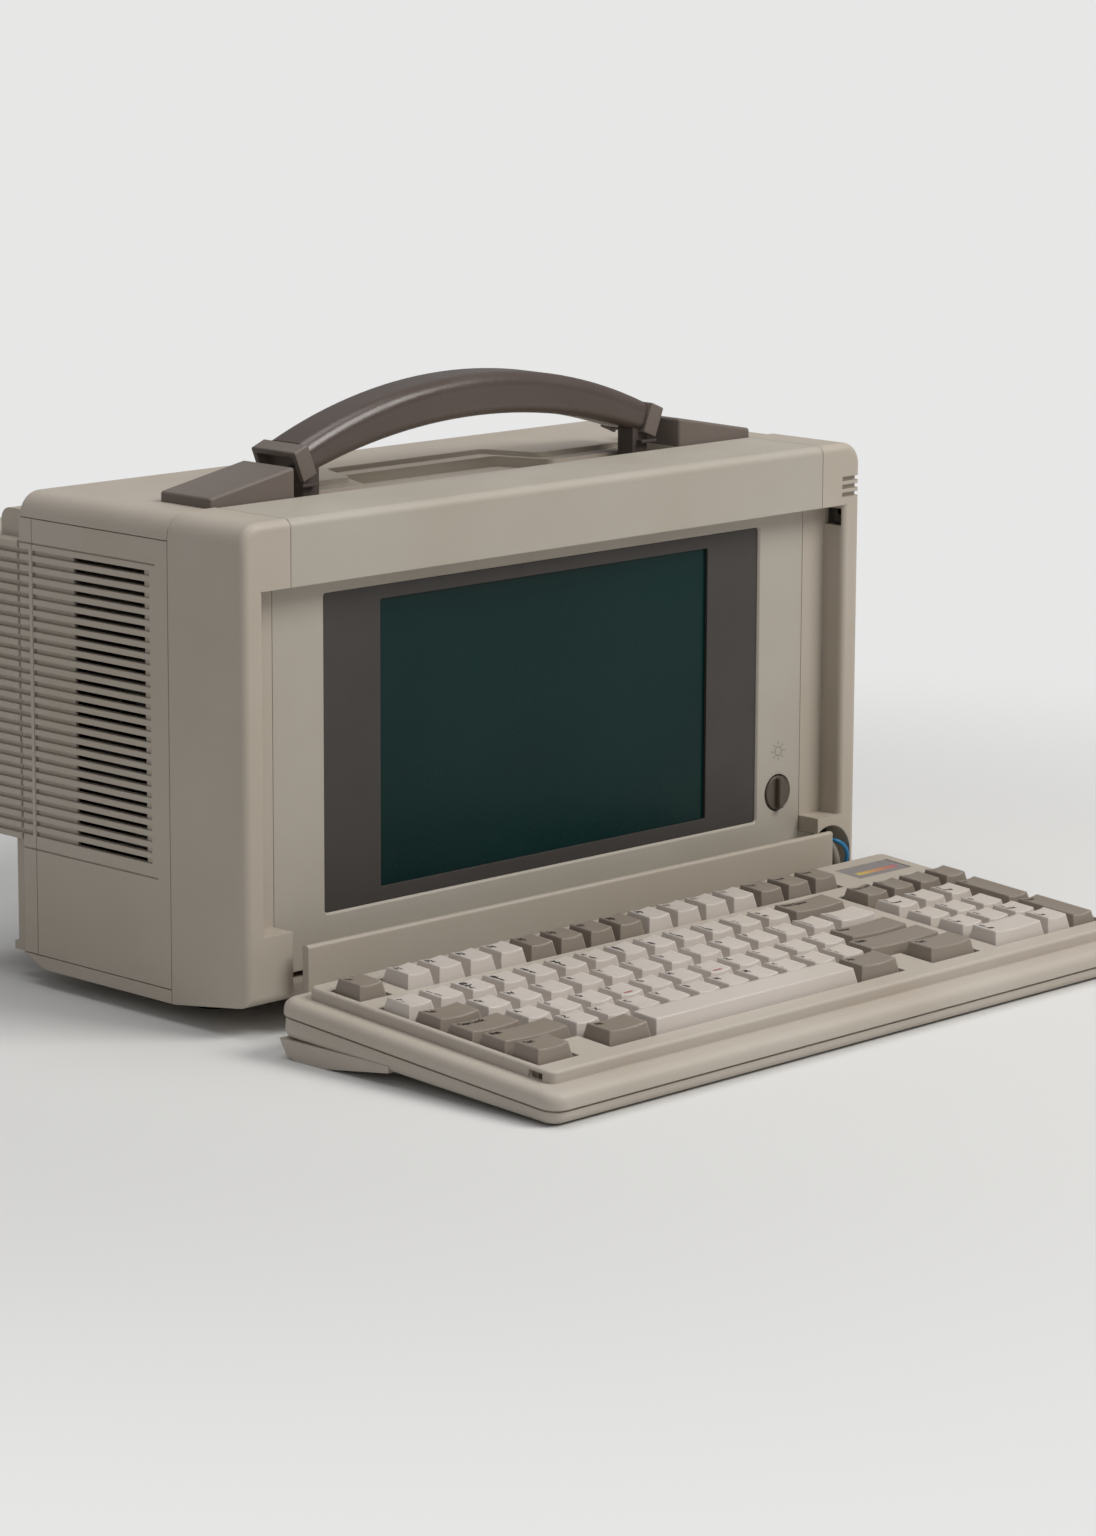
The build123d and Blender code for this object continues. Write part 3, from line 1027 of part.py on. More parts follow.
def cord_strain_relief():
    """Boss under the keyboard that holds the cord's end."""
    x0, x1 = RELIEF_X - RELIEF_HALF, RELIEF_X + RELIEF_HALF
    boss = box(x0, x1, *RELIEF_Y, RELIEF_BOTTOM, RISER_TOP + 2)
    low = boss.edges().filter_by(Axis.Y).group_by(Axis.Z)[0]
    return on_floor(fillet(low, 3.0)) - on_keyboard(lower_shell_body())


# ================================================================ cord
def arc_radii(points):
    """Radius at each inner point: 0.45 of the shorter run over the tangent of half the turn."""
    radii = []
    for a, b, c in zip(points, points[1:], points[2:]):
        run_in = Vector(*b) - Vector(*a)
        run_out = Vector(*c) - Vector(*b)
        half_turn = math.radians(run_in.get_angle(run_out)) / 2
        radii.append(0.45 * min(run_in.length, run_out.length) / math.tan(half_turn))
    return radii


def cord_tube(points, name):
    radii = arc_radii(points)
    print(name, "radii", [round(r, 1) for r in radii])
    path = FilletPolyline(*points, radius=radii)
    section = Plane(origin=path @ 0, z_dir=path % 0) * Circle(CORD_R)
    tube = sweep(section, path)
    print(name, "volume ratio", round(tube.volume / (math.pi * CORD_R ** 2 * path.length), 4))
    return tube


def mouth_points():
    """Last two points of the cord, square to the boss under the keyboard."""
    x, y, z = CORD_MOUTH
    return [tuple(on_floor(Vertex(x, y + d, z)).center()) for d in (CORD_STRAIGHT, 0)]


def keyboard_cord():
    """Straight ends of the cord: from the case to the curls, and from the curls to the keyboard."""
    return group(cord_tube(CORD_LEAD, "lead"), cord_tube(CORD_TAIL + mouth_points(), "tail"))


def cord_grommet():
    """Rubber ring in the case, where the cord comes out."""
    x, _, z = CORD_LEAD[0]
    ring = rod((x, RECESS_DEPTH - 0.5, z), "y", CORD_HOLE_R + 1.5, 0.5) & cord_bay()
    ring += rod((x, RECESS_DEPTH, z), "y", CORD_HOLE_R, WALL + 0.5)
    return ring - rod((x, 0, z), "y", CORD_R + SHAFT_CLEAR, 40)


def keyboard_cord_coil():
    """Curly middle part of the cord, lying on the floor behind the keyboard."""
    x1, y, z = CORD_LEAD[-1]
    return rod((COIL_END_X, y, z), "x", COIL_R, x1 - COIL_END_X)


def on_keyboard(shape):
    """Place a piece drawn in the keyboard's own frame."""
    return KEYS_PLANE.location * shape


# ================================================================ the whole machine
def build():
    pieces = {
        "front_frame": front_frame(),
        "base_pan": base_pan(),
        "left_side_panel": left_side_panel(),
        "right_side_panel": right_side_panel(),
        "top_cover": top_cover(),
        "rear_shell": rear_shell(),
        "cord_grommet": cord_grommet(),
        "rubber_feet": rubber_feet(),
        "chassis_frame": chassis_frame(),
        "handle_grip": handle_grip(),
        "handle_collars": group(handle_collar(), other_side(handle_collar())),
        "handle_end_caps": group(handle_cap(), other_side(handle_cap())),
        "handle_posts": group(handle_post(), other_side(handle_post())),
        "latch_button": latch_button(),
        "latch_hook": latch_hook(),
        "power_supply": power_supply(),
        "fan_housing": fan_housing(),
        "fan_rotor": fan_rotor(),
        "hard_drive": hard_drive(),
        "main_board": main_board(),
        "floppy_drive": floppy_drive(),
        "floppy_bezel": floppy_bezel(),
        "floppy_lever": floppy_lever(),
        "expansion_shell": expansion_shell(),
        "expansion_rear_plate": expansion_rear_plate(),
        "expansion_board": expansion_board(),
        "thumb_screws": thumb_screws(),
        "connector_panel": connector_panel(),
        "power_inlet": power_inlet(),
        "power_switch": power_switch(),
        "data_connectors": data_connectors(),
        "display_carriage": display_carriage(),
        "display_housing": display_housing(),
        "display_bezel": display_bezel(),
        "display_glass": display_glass(),
        "plasma_panel": plasma_panel(),
        "display_rear_cover": display_rear_cover(),
        "tilt_pins": tilt_pins(),
        "brightness_knob": brightness_knob(),
        "keyboard_top_shell": on_keyboard(keyboard_top_shell()),
        "keyboard_bottom_shell": on_keyboard(keyboard_bottom_shell()),
        "keyboard_feet": keyboard_feet(),
        "cord_strain_relief": cord_strain_relief(),
        "key_plate": on_keyboard(key_plate()),
        "keyboard_board": on_keyboard(keyboard_board()),
    }
    for name, keys in KEYS.items():
        pieces[name] = on_keyboard(group(*[key_cap(key) for key in keys]))
    cords = {
        "keyboard_cord": keyboard_cord(),
        "keyboard_cord_coil": keyboard_cord_coil(),
    }
    return pieces, cords


def footprint_shift(pieces):
    """Move that brings the middle of the footprint to the origin."""
    bounds = Compound([solid for shape in pieces.values() for solid in shape.solids()]).bounding_box()
    middle = bounds.center()
    return Pos(-middle.X, -middle.Y, -bounds.min.Z)


if __name__ == "__main__":
    made, cords = build()
    shift = footprint_shift(made)
    print("shift", [round(v, 4) for v in shift.position])
    for name, shape in {**made, **cords}.items():
        export_step(shift * shape, f"parts/{name}.step")
    print(len(made) + len(cords), "nodes")
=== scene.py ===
"""Looks of the luggable computer: materials, key legends, label, symbol, cord, wire, light and camera."""
import math

import bmesh
import bpy
from mathutils import Matrix, Vector
from mathutils.bvhtree import BVHTree


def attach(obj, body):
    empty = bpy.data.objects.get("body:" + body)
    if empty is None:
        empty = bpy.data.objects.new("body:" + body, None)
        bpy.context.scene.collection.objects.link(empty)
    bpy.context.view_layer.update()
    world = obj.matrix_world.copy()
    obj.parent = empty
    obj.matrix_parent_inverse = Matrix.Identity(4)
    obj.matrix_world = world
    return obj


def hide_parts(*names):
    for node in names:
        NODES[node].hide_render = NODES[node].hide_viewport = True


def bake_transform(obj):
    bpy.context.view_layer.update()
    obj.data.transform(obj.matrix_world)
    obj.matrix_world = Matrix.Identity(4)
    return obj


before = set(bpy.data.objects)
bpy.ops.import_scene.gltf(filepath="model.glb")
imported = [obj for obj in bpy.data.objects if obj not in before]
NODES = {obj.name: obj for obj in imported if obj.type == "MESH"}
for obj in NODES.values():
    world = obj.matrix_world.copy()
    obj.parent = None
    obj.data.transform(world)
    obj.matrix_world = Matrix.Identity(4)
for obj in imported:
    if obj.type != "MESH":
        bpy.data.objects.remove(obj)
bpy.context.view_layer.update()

# The case's drawing has an origin of its own. This moves it, in metres, to the frame of the whole row.
SHIFT = Vector((0.0006384, -0.0113156, 0.0))


def case_point(x, y, z):
    """Point of the case's drawing, given in millimetres, in the row's frame in metres."""
    return Vector((x, y, z)) / 1000 + SHIFT


def srgb(r, g, b):
    """Linear colour of an 8-bit display colour."""
    def linear(v):
        v /= 255
        return v / 12.92 if v <= 0.04045 else ((v + 0.055) / 1.055) ** 2.4
    return (linear(r), linear(g), linear(b), 1.0)


def shade(colour, factor, lift=0.0):
    """The colour made darker or paler by a factor, then lifted, and never past white."""
    return tuple(min(1.0, c * factor + lift) for c in colour[:3]) + (1.0,)


def add_object(name, data):
    """New object with this data in the scene."""
    made = bpy.data.objects.new(name, data)
    bpy.context.scene.collection.objects.link(made)
    return made


# ---------------------------------------------------------------- camera
# Solved from points of the photograph: angles in degrees, the focal length in its pixels, the place in
# millimetres of the case's drawing.
YAW, PITCH, ROLL = (math.radians(v) for v in (45.085, 11.381, 0.239))
FOCAL_PX = 4910.7
PICTURE_H = 1536
CAMERA_PLACE = (-1602.7, -1583.6, 549.3)
SENSOR_H = 36
CLIP_END = 50


def place_camera():
    """Camera at the photograph's viewing angle, without shift."""
    ahead = Vector((math.sin(YAW) * math.cos(PITCH), math.cos(YAW) * math.cos(PITCH), -math.sin(PITCH)))
    right = Vector((math.cos(YAW), -math.sin(YAW), 0))
    up = right.cross(ahead)
    rolled_right = right * math.cos(ROLL) + up * math.sin(ROLL)
    rolled_up = up * math.cos(ROLL) - right * math.sin(ROLL)
    data = bpy.data.cameras.new("camera")
    data.sensor_fit = "VERTICAL"
    data.sensor_height = SENSOR_H
    data.lens = FOCAL_PX / PICTURE_H * SENSOR_H
    data.clip_end = CLIP_END
    camera = add_object("camera", data)
    turn = Matrix((rolled_right, rolled_up, -ahead)).transposed().to_4x4()
    camera.matrix_world = Matrix.Translation(case_point(*CAMERA_PLACE)) @ turn
    bpy.context.scene.camera = camera


# ---------------------------------------------------------------- material tools
# Colour sockets of the Mix node, whose names are shared by the sockets of its other modes.
MIX_A = 6
MIX_B = 7
MIX_RESULT = 2

# Cosine between the bevelled and the true normal where an edge's mask begins, and where it is full.
EDGE_BEGINS = 0.985
EDGE_FULL = 0.75
BEVEL_SAMPLES = 4


class Graph:
    """A material's node tree, with short calls for the nodes used here."""

    def __init__(self, name):
        self.material = bpy.data.materials.new(name)
        self.material.use_nodes = True
        self.tree = self.material.node_tree
        self.bsdf = self.tree.nodes["Principled BSDF"]
        self.coords = self.node("ShaderNodeTexCoord").outputs["Object"]

    def node(self, kind, **settings):
        """New node of a kind, with its settings."""
        made = self.tree.nodes.new(kind)
        for key, value in settings.items():
            setattr(made, key, value)
        return made

    def feed(self, value, socket):
        """Link a node's output to a socket, or set a fixed number or colour on it."""
        if isinstance(value, bpy.types.NodeSocket):
            self.tree.links.new(value, socket)
        else:
            socket.default_value = value

    def surface(self, **values):
        """Feed the shader's sockets. An underscore in a name stands for a blank."""
        for name, value in values.items():
            self.feed(value, self.bsdf.inputs[name.replace("_", " ")])

    def stretched(self, scales):
        """Object coordinates scaled apart, for grain with a direction."""
        mapping = self.node("ShaderNodeMapping")
        self.feed(scales, mapping.inputs["Scale"])
        self.feed(self.coords, mapping.inputs["Vector"])
        return mapping.outputs["Vector"]

    def noise(self, scale, detail, rough, coords=None):
        """Noise around one half, in object coordinates unless others are given."""
        made = self.node("ShaderNodeTexNoise")
        self.feed(scale, made.inputs["Scale"])
        self.feed(detail, made.inputs["Detail"])
        self.feed(rough, made.inputs["Roughness"])
        self.feed(coords or self.coords, made.inputs["Vector"])
        return made.outputs["Fac"]

    def span(self, value, low, high, to=(0.0, 1.0), curve="LINEAR"):
        """Value mapped so that low to high becomes the two numbers of `to`, and held at both ends."""
        made = self.node("ShaderNodeMapRange", interpolation_type=curve)
        for name, number in zip(("From Min", "From Max", "To Min", "To Max"), (low, high, *to)):
            self.feed(number, made.inputs[name])
        self.feed(value, made.inputs["Value"])
        return made.outputs["Result"]

    def patches(self, scale, detail, rough, band, to=(0.0, 1.0)):
        """Soft patches: noise whose values in a band are spread from one number to another."""
        return self.span(self.noise(scale, detail, rough), *band, to)

    def maths(self, operation, a, b=None):
        """Result of a Math node on one or two values."""
        made = self.node("ShaderNodeMath", operation=operation)
        for value, socket in zip((a, b), made.inputs):
            if value is not None:
                self.feed(value, socket)
        return made.outputs[0]

    def mix(self, factor, a, b):
        """Colour between two colours."""
        made = self.node("ShaderNodeMix", data_type="RGBA")
        self.feed(factor, made.inputs["Factor"])
        self.feed(a, made.inputs[MIX_A])
        self.feed(b, made.inputs[MIX_B])
        return made.outputs[MIX_RESULT]

    def edges(self, radius, full=EDGE_FULL):
        """Mask that is 1 along edges, from the bevelled and the true normal, and the bevelled normal."""
        bevel = self.node("ShaderNodeBevel", samples=BEVEL_SAMPLES)
        self.feed(radius, bevel.inputs["Radius"])
        plain = self.node("ShaderNodeNewGeometry").outputs["Normal"]
        dot = self.node("ShaderNodeVectorMath", operation="DOT_PRODUCT")
        self.feed(bevel.outputs["Normal"], dot.inputs[0])
        self.feed(plain, dot.inputs[1])
        return self.span(dot.outputs["Value"], EDGE_BEGINS, full), bevel.outputs["Normal"]

    def bump(self, height, strength, distance, normal=None):
        """Bumps on the shader's normal, or on a given one."""
        made = self.node("ShaderNodeBump")
        self.feed(strength, made.inputs["Strength"])
        self.feed(distance, made.inputs["Distance"])
        self.feed(height, made.inputs["Height"])
        if normal is not None:
            self.feed(normal, made.inputs["Normal"])
        self.surface(Normal=made.outputs["Normal"])


def moulded(name, colour, aged, roughness=0.5, grain=1.0, wear_and_highlight=0.35, edge=0.0006, worn_and_highlit=None, specular=0.4,
            full=EDGE_FULL):
    """Moulded plastic: fine spark-eroded texture, uneven ageing, flecks, paler edges that are partly wear
    and partly a painted highlight, faint scuffs.
    """
    g = Graph(name)
    cloud = g.patches(scale=9, detail=3, rough=0.55, band=(0.35, 0.68))
    base = g.mix(cloud, colour, aged)
    fleck = g.patches(scale=900, detail=2, rough=0.7, band=(0.62, 0.78), to=(0.0, 0.22))
    base = g.mix(fleck, base, shade(colour, 0.72))
    edge_mask, soft_normal = g.edges(edge, full)
    uneven = g.patches(scale=60, detail=3, rough=0.6, band=(0.4, 0.7), to=(0.4, 1.0))
    # Paler edges: partly wear, partly a painted highlight along the edges, strongest where the mask is full.
    rubbed_and_highlit = g.maths("MULTIPLY", g.maths("MULTIPLY", edge_mask, uneven), wear_and_highlight)
    base = g.mix(rubbed_and_highlit, base, worn_and_highlit or shade(colour, 1.35))
    scuff = g.patches(scale=26, detail=5, rough=0.7, band=(0.45, 0.75), to=(-0.07, 0.1))
    g.surface(Base_Color=base, Roughness=g.maths("ADD", scuff, roughness), Specular_IOR_Level=specular)
    fine = g.noise(scale=2600, detail=3, rough=0.6)
    g.bump(fine, strength=0.10 * grain, distance=0.00025, normal=soft_normal)
    return g.material


def metal(name, colour, roughness, grain=(1, 1, 30)):
    """Sheet or cast metal with a drawn grain and dull patches."""
    g = Graph(name)
    streak = g.noise(scale=120, detail=3, rough=0.6, coords=g.stretched(grain))
    base = g.mix(g.span(streak, low=0.35, high=0.65), colour, shade(colour, 0.8))
    edge_mask, soft_normal = g.edges(radius=0.0004)
    # Paler edges: a painted highlight along the edges.
    base = g.mix(edge_mask, base, shade(colour, 1.2))
    dull = g.patches(scale=40, detail=4, rough=0.6, band=(0.3, 0.7), to=(roughness - 0.08, roughness + 0.12))
    g.surface(Base_Color=base, Roughness=dull, Metallic=1.0)
    g.bump(streak, strength=0.06, distance=0.0002, normal=soft_normal)
    return g.material


def rubber(name, colour, roughness=0.75):
    """Dull rubber with a powdery bloom."""
    g = Graph(name)
    bloom = g.patches(scale=70, detail=4, rough=0.6, band=(0.4, 0.75))
    g.surface(Base_Color=g.mix(bloom, colour, shade(colour, 1.6, lift=0.01)),
              Roughness=g.span(bloom, low=0, high=1, to=(roughness - 0.1, roughness + 0.1)))
    g.bump(g.noise(scale=1400, detail=2, rough=0.6), strength=0.12, distance=0.0002)
    return g.material


def screen_filter(name):
    """Dark anti-glare filter: nearly black with a teal tint that is a painted reflection of green
    surroundings, a fine etched surface and a little dust.
    """
    g = Graph(name)
    cloud = g.patches(scale=7, detail=2, rough=0.5, band=(0.3, 0.7))
    # The teal of these two base colours is a painted reflection of green surroundings; the filter itself is
    # nearly black.
    base = g.mix(cloud, srgb(5, 38, 37), srgb(8, 46, 43))
    dust = g.patches(scale=420, detail=4, rough=0.75, band=(0.72, 0.88), to=(0.0, 0.12))
    g.surface(Base_Color=g.mix(dust, base, srgb(60, 78, 75)),
              Roughness=g.patches(scale=30, detail=4, rough=0.6, band=(0.3, 0.7), to=(0.24, 0.34)),
              Specular_IOR_Level=0.12, Coat_Weight=0.05, Coat_Roughness=0.1)
    g.bump(g.noise(scale=3200, detail=2, rough=0.6), strength=0.05, distance=0.0001)
    return g.material


def board(name):
    """Green circuit board with tracks under the solder resist."""
    g = Graph(name)
    tracks = g.node("ShaderNodeTexWave", wave_type="BANDS", bands_direction="X")
    g.feed(160, tracks.inputs["Scale"])
    g.feed(2.5, tracks.inputs["Distortion"])
    g.feed(g.coords, tracks.inputs["Vector"])
    lines = tracks.outputs["Fac"]
    g.surface(Base_Color=g.mix(g.span(lines, low=0.45, high=0.6), srgb(28, 84, 52), srgb(40, 112, 66)),
              Roughness=g.patches(scale=50, detail=3, rough=0.5, band=(0.3, 0.7), to=(0.28, 0.42)))
    g.bump(lines, strength=0.1, distance=0.0002)
    return g.material


# ---------------------------------------------------------------- materials of the nodes
CASE = moulded("case_plastic", srgb(186, 176, 164), srgb(179, 169, 154), 0.52)
PANEL = moulded("display_plastic", srgb(182, 175, 164), srgb(175, 167, 154))
KEYBOARD = moulded("keyboard_plastic", srgb(188, 179, 168), srgb(181, 171, 158))
# The strap's wide pale edge strip is partly a painted highlight along its rounded rims, partly wear.
STRAP = moulded("strap_plastic", srgb(88, 76, 70), srgb(80, 68, 62), 0.3, grain=0.5, wear_and_highlight=0.6, edge=0.0016,
                specular=0.55)
ANCHOR = moulded("anchor_plastic", srgb(118, 108, 101), srgb(108, 98, 91), 0.55, wear_and_highlight=0.5)
COLLAR = moulded("collar_plastic", srgb(84, 74, 69), srgb(76, 67, 62), wear_and_highlight=0.5)
BEZEL = moulded("bezel_plastic", srgb(68, 63, 60), srgb(62, 58, 55), wear_and_highlight=0.2)
# The caps' rounded rims are painted pale over a wide strip, mostly as a painted highlight along the rims
# with some wear, so their mask is full at a gentle bend already.
CAP_WEAR_AND_HIGHLIGHT = {"roughness": 0.4, "grain": 0.6, "wear_and_highlight": 0.9, "edge": 0.0013, "full": 0.93}
LIGHT_KEYS = moulded("pale_key_plastic", srgb(207, 198, 190), srgb(199, 189, 179),
                     worn_and_highlit=srgb(244, 238, 232), **CAP_WEAR_AND_HIGHLIGHT)
GREY_KEYS = moulded("taupe_key_plastic", srgb(146, 134, 122), srgb(137, 126, 114),
                    worn_and_highlit=srgb(190, 179, 168), **CAP_WEAR_AND_HIGHLIGHT)
KNOB = moulded("knob_plastic", srgb(92, 83, 72), srgb(84, 75, 65), 0.45, wear_and_highlight=0.5, edge=0.0004)
BLACK = moulded("black_plastic", srgb(34, 32, 30), srgb(28, 27, 26), wear_and_highlight=0.3)
GREY = moulded("grey_plastic", srgb(96, 94, 90), srgb(88, 86, 82), 0.55)
PAINTED = moulded("powder_coat", srgb(178, 169, 157), srgb(170, 161, 148), 0.6, grain=2.5, wear_and_highlight=0.7,
                  worn_and_highlit=srgb(190, 190, 188))
RUBBER = rubber("black_rubber", srgb(30, 29, 28))
CORD = rubber("cord_jacket", srgb(112, 104, 92), 0.55)
ZINC = metal("zinc_sheet", srgb(182, 184, 184), 0.38)
CAST = metal("cast_metal", srgb(170, 170, 168), 0.45, grain=(1, 1, 1))
NICKEL = metal("nickel", srgb(205, 200, 190), 0.22, grain=(1, 1, 6))
STEEL = metal("dull_steel", srgb(96, 94, 90), 0.5)
SCREEN = screen_filter("screen_filter")
PLASMA = moulded("plasma_glass", srgb(20, 14, 12), srgb(26, 16, 12), 0.2, grain=0.0, wear_and_highlight=0.0)
BOARD = board("circuit_board")

FINISH = {
    CASE: ["front_frame", "base_pan", "left_side_panel", "right_side_panel", "top_cover", "rear_shell",
           "expansion_shell", "latch_button", "floppy_bezel", "connector_panel"],
    PANEL: ["display_housing"],
    KEYBOARD: ["keyboard_top_shell", "keyboard_bottom_shell", "keyboard_feet", "cord_strain_relief"],
    STRAP: ["handle_grip"],
    ANCHOR: ["handle_end_caps", "handle_collars"],
    COLLAR: ["handle_posts"],
    BEZEL: ["display_bezel"],
    LIGHT_KEYS: ["function_keys_light", "number_row_keys", "top_letter_keys", "home_letter_keys",
                 "bottom_letter_keys", "space_bar", "keypad_digit_keys"],
    GREY_KEYS: ["function_keys_grey", "left_edge_keys", "right_edge_keys", "control_keys",
                "keypad_grey_keys"],
    KNOB: ["brightness_knob"],
    BLACK: ["fan_housing", "fan_rotor", "floppy_lever", "power_inlet", "power_switch"],
    GREY: ["display_rear_cover"],
    PAINTED: ["expansion_rear_plate"],
    RUBBER: ["rubber_feet", "cord_grommet"],
    CORD: ["keyboard_cord", "keyboard_cord_coil"],
    ZINC: ["chassis_frame", "key_plate", "display_carriage"],
    CAST: ["power_supply", "hard_drive", "floppy_drive"],
    NICKEL: ["thumb_screws", "tilt_pins", "data_connectors"],
    STEEL: ["latch_hook"],
    SCREEN: ["display_glass"],
    PLASMA: ["plasma_panel"],
    BOARD: ["main_board", "expansion_board", "keyboard_board"],
}


def dress_nodes():
    """Give each node of the CAD model its material."""
    for material, names in FINISH.items():
        for name in names:
            slots = NODES[name].data.materials
            slots.clear()
            slots.append(material)


# ---------------------------------------------------------------- tools for pieces
def new_piece(name, points, faces, material):
    """Flat shaded piece of the scene from points and faces."""
    data = bpy.data.meshes.new(name)
    data.from_pydata([tuple(p) for p in points], [], faces, shade_flat=True)
    data.update()
    data.materials.append(material)
    return add_object(name, data)


def evaluated_mesh(curve):
    """Mesh of a curve or text, as Blender draws it."""
    carrier = add_object(curve.name, curve)
    bpy.context.view_layer.update()
    mesh = bpy.data.meshes.new_from_object(carrier.evaluated_get(bpy.context.evaluated_depsgraph_get()))
    bpy.data.objects.remove(carrier)
    return mesh


# ---------------------------------------------------------------- print on the keyboard
# The keyboard's own frame: its turn on the floor, the slope of its deck, and its origin in millimetres of
# the case's drawing.
KEYS_TURN = math.radians(0.844)
KEYS_TILT = math.radians(4.34)
KEYBOARD_PLACE = (-7.73, -24.88, 20.27)


def keyboard_frame():
    """Matrix of the keyboard's own frame: x to the right, y to its rear edge, z off the parting plane."""
    across = Vector((math.cos(KEYS_TURN), math.sin(KEYS_TURN), 0))
    normal = Vector((math.sin(KEYS_TURN) * math.sin(KEYS_TILT), -math.cos(KEYS_TURN) * math.sin(KEYS_TILT),
                     math.cos(KEYS_TILT)))
    turn = Matrix((across, normal.cross(across), normal)).transposed().to_4x4()
    return Matrix.Translation(case_point(*KEYBOARD_PLACE)) @ turn


KEYBOARD_FRAME = keyboard_frame()
INK = moulded("key_print", srgb(22, 20, 20), srgb(30, 27, 26), grain=0.2, wear_and_highlight=0.0)
MARK_INK = moulded("key_mark", srgb(176, 84, 84), srgb(168, 88, 84), grain=0.2, wear_and_highlight=0.0)

# Legends of each group's caps, from the left and the back row first. A slash parts two lines, and an
# underscore in a word stands for a blank.
LEGENDS = {
    "function_keys_light": "F1 F2 F3 F4 F9 F10 F11 F12",
    "function_keys_grey": "Esc F5 F6 F7 F8 Print Scroll Pause",
    "number_row_keys": "~/` !/1 @/2 #/3 $/4 %/5 ^/6 &/7 */8 (/9 )/0 _/- +/=",
    "top_letter_keys": "Q W E R T Y U I O P {/[ }/] |/\\",
    "home_letter_keys": "A S D F G H J K L :/; \"/'",
    "bottom_letter_keys": "Z X C V B N M </, >/. ?/",
    "left_edge_keys": "Tab Caps_Lock Shift",
    "right_edge_keys": "Back_Space Enter Shift",
    "control_keys": "Ctrl Alt Alt Ctrl",
    "keypad_digit_keys": "7/Home 8 9/PgUp 4 5 6 1/End 2 3/PgDn 0/Ins ./Del",
    "keypad_grey_keys": "Num_Lock / * - + Enter",
}
SLASH_LEGENDS = {"/": ["/"], "?/": ["?", "/"]}

# Letters: heights in metres, the widening of their strokes and the height of the font's capitals as shares.
LETTER_H = 0.0032
NUMBER_H = 0.0038
LETTER_WEIGHT = 0.06
FONT_CAPITAL = 0.7
LETTER_STEPS = 2

# Lines of more than SHORT_WORD signs are smaller, and smaller still on caps under NARROW_CAP in width.
SHORT_WORD = 2
WORD_SHARE = 0.8
NARROW_CAP = 0.016
NARROW_SHARE = 0.62
LEGEND_INSET_X = 0.0022
LEGEND_INSET_Y = 0.0014
LINE_GAP = 0.0010

# How the caps are found: points that agree to WELD_DIGITS decimals of a metre are one, points within
# TOP_DEPTH of the highest belong to the top, and tops within HALF_PITCH stand in one row.
WELD_DIGITS = 5
TOP_DEPTH = 0.0017
HALF_PITCH = 0.0097

# The print is dropped on the caps from RAY_START_Z and lies PRINT_LIFT over them.
RAY_START_Z = 0.1
PRINT_LIFT = 0.00006

# Keys of the first fingers, with a bar along the front of their caps.
MARK_KEYS = ("F", "J")
MARK_W = 0.0056
MARK_H = 0.0009
MARK_RISE = 0.0020


def islands(node, frame_matrix):
    """Points of each separate solid of a node, in another frame."""
    to_frame = frame_matrix.inverted() @ node.matrix_world
    keys = [tuple(round(c, WELD_DIGITS) for c in to_frame @ v.co) for v in node.data.vertices]
    root = {}

    def find(k):
        """Point that stands for the group of a point."""
        while root.setdefault(k, k) != k:
            k = root[k]
        return k

    for face in node.data.polygons:
        first = find(keys[face.vertices[0]])
        for index in face.vertices[1:]:
            root[find(keys[index])] = first
    groups = {}
    for key in set(keys):
        groups.setdefault(find(key), []).append(key)
    return list(groups.values())


def top_patch(points):
    """Extent of a cap's top: x0, x1, y0, y1."""
    top = max(p[2] for p in points)
    near = [p for p in points if p[2] > top - TOP_DEPTH]
    xs = [p[0] for p in near]
    ys = [p[1] for p in near]
    return min(xs), max(xs), min(ys), max(ys)


def lettering(text, height):
    """Flat triangles of a word: points and faces, its left baseline end at the origin."""
    data = bpy.data.curves.new("word", "FONT")
    data.body = text
    data.size = height / FONT_CAPITAL
    data.offset = height * LETTER_WEIGHT
    data.resolution_u = LETTER_STEPS
    mesh = evaluated_mesh(data)
    return [v.co.copy() for v in mesh.vertices], [tuple(p.vertices) for p in mesh.polygons]


def mark_bar():
    """Points and face of the bar on the keys of the first fingers."""
    corners = ((0, 0), (MARK_W, 0), (MARK_W, MARK_H), (0, MARK_H))
    return [Vector((x, y, 0)) for x, y in corners], [(0, 1, 2, 3)]


def print_words(name, node, words, material, body):
    """Words laid on a node from above; each is (points and faces, x, y) in the keyboard's frame."""
    surface = [KEYBOARD_FRAME.inverted() @ node.matrix_world @ v.co for v in node.data.vertices]
    tree = BVHTree.FromPolygons(surface, [tuple(p.vertices) for p in node.data.polygons])
    points, faces = [], []
    for (outline, triangles), x, y in words:
        start = len(points)
        for p in outline:
            hit = tree.ray_cast(Vector((x + p.x, y + p.y, RAY_START_Z)), Vector((0, 0, -1)))[0]
            points.append(KEYBOARD_FRAME @ (hit + Vector((0, 0, PRINT_LIFT))))
        faces += [tuple(start + i for i in face) for face in triangles]
    piece = new_piece(name, points, faces, material)
    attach(piece, body)


def legend_lines(legend):
    """Lines of a legend, from the top."""
    if legend in SLASH_LEGENDS:
        return SLASH_LEGENDS[legend]
    return [part.replace("_", " ") if len(part) > 1 else part for part in legend.split("/")]


def line_height(line, size, cap_width):
    """Height of a line: words are smaller than single signs, and smaller still on narrow caps."""
    if len(line) <= SHORT_WORD:
        return size
    return size * (NARROW_SHARE if cap_width < NARROW_CAP else WORD_SHARE)


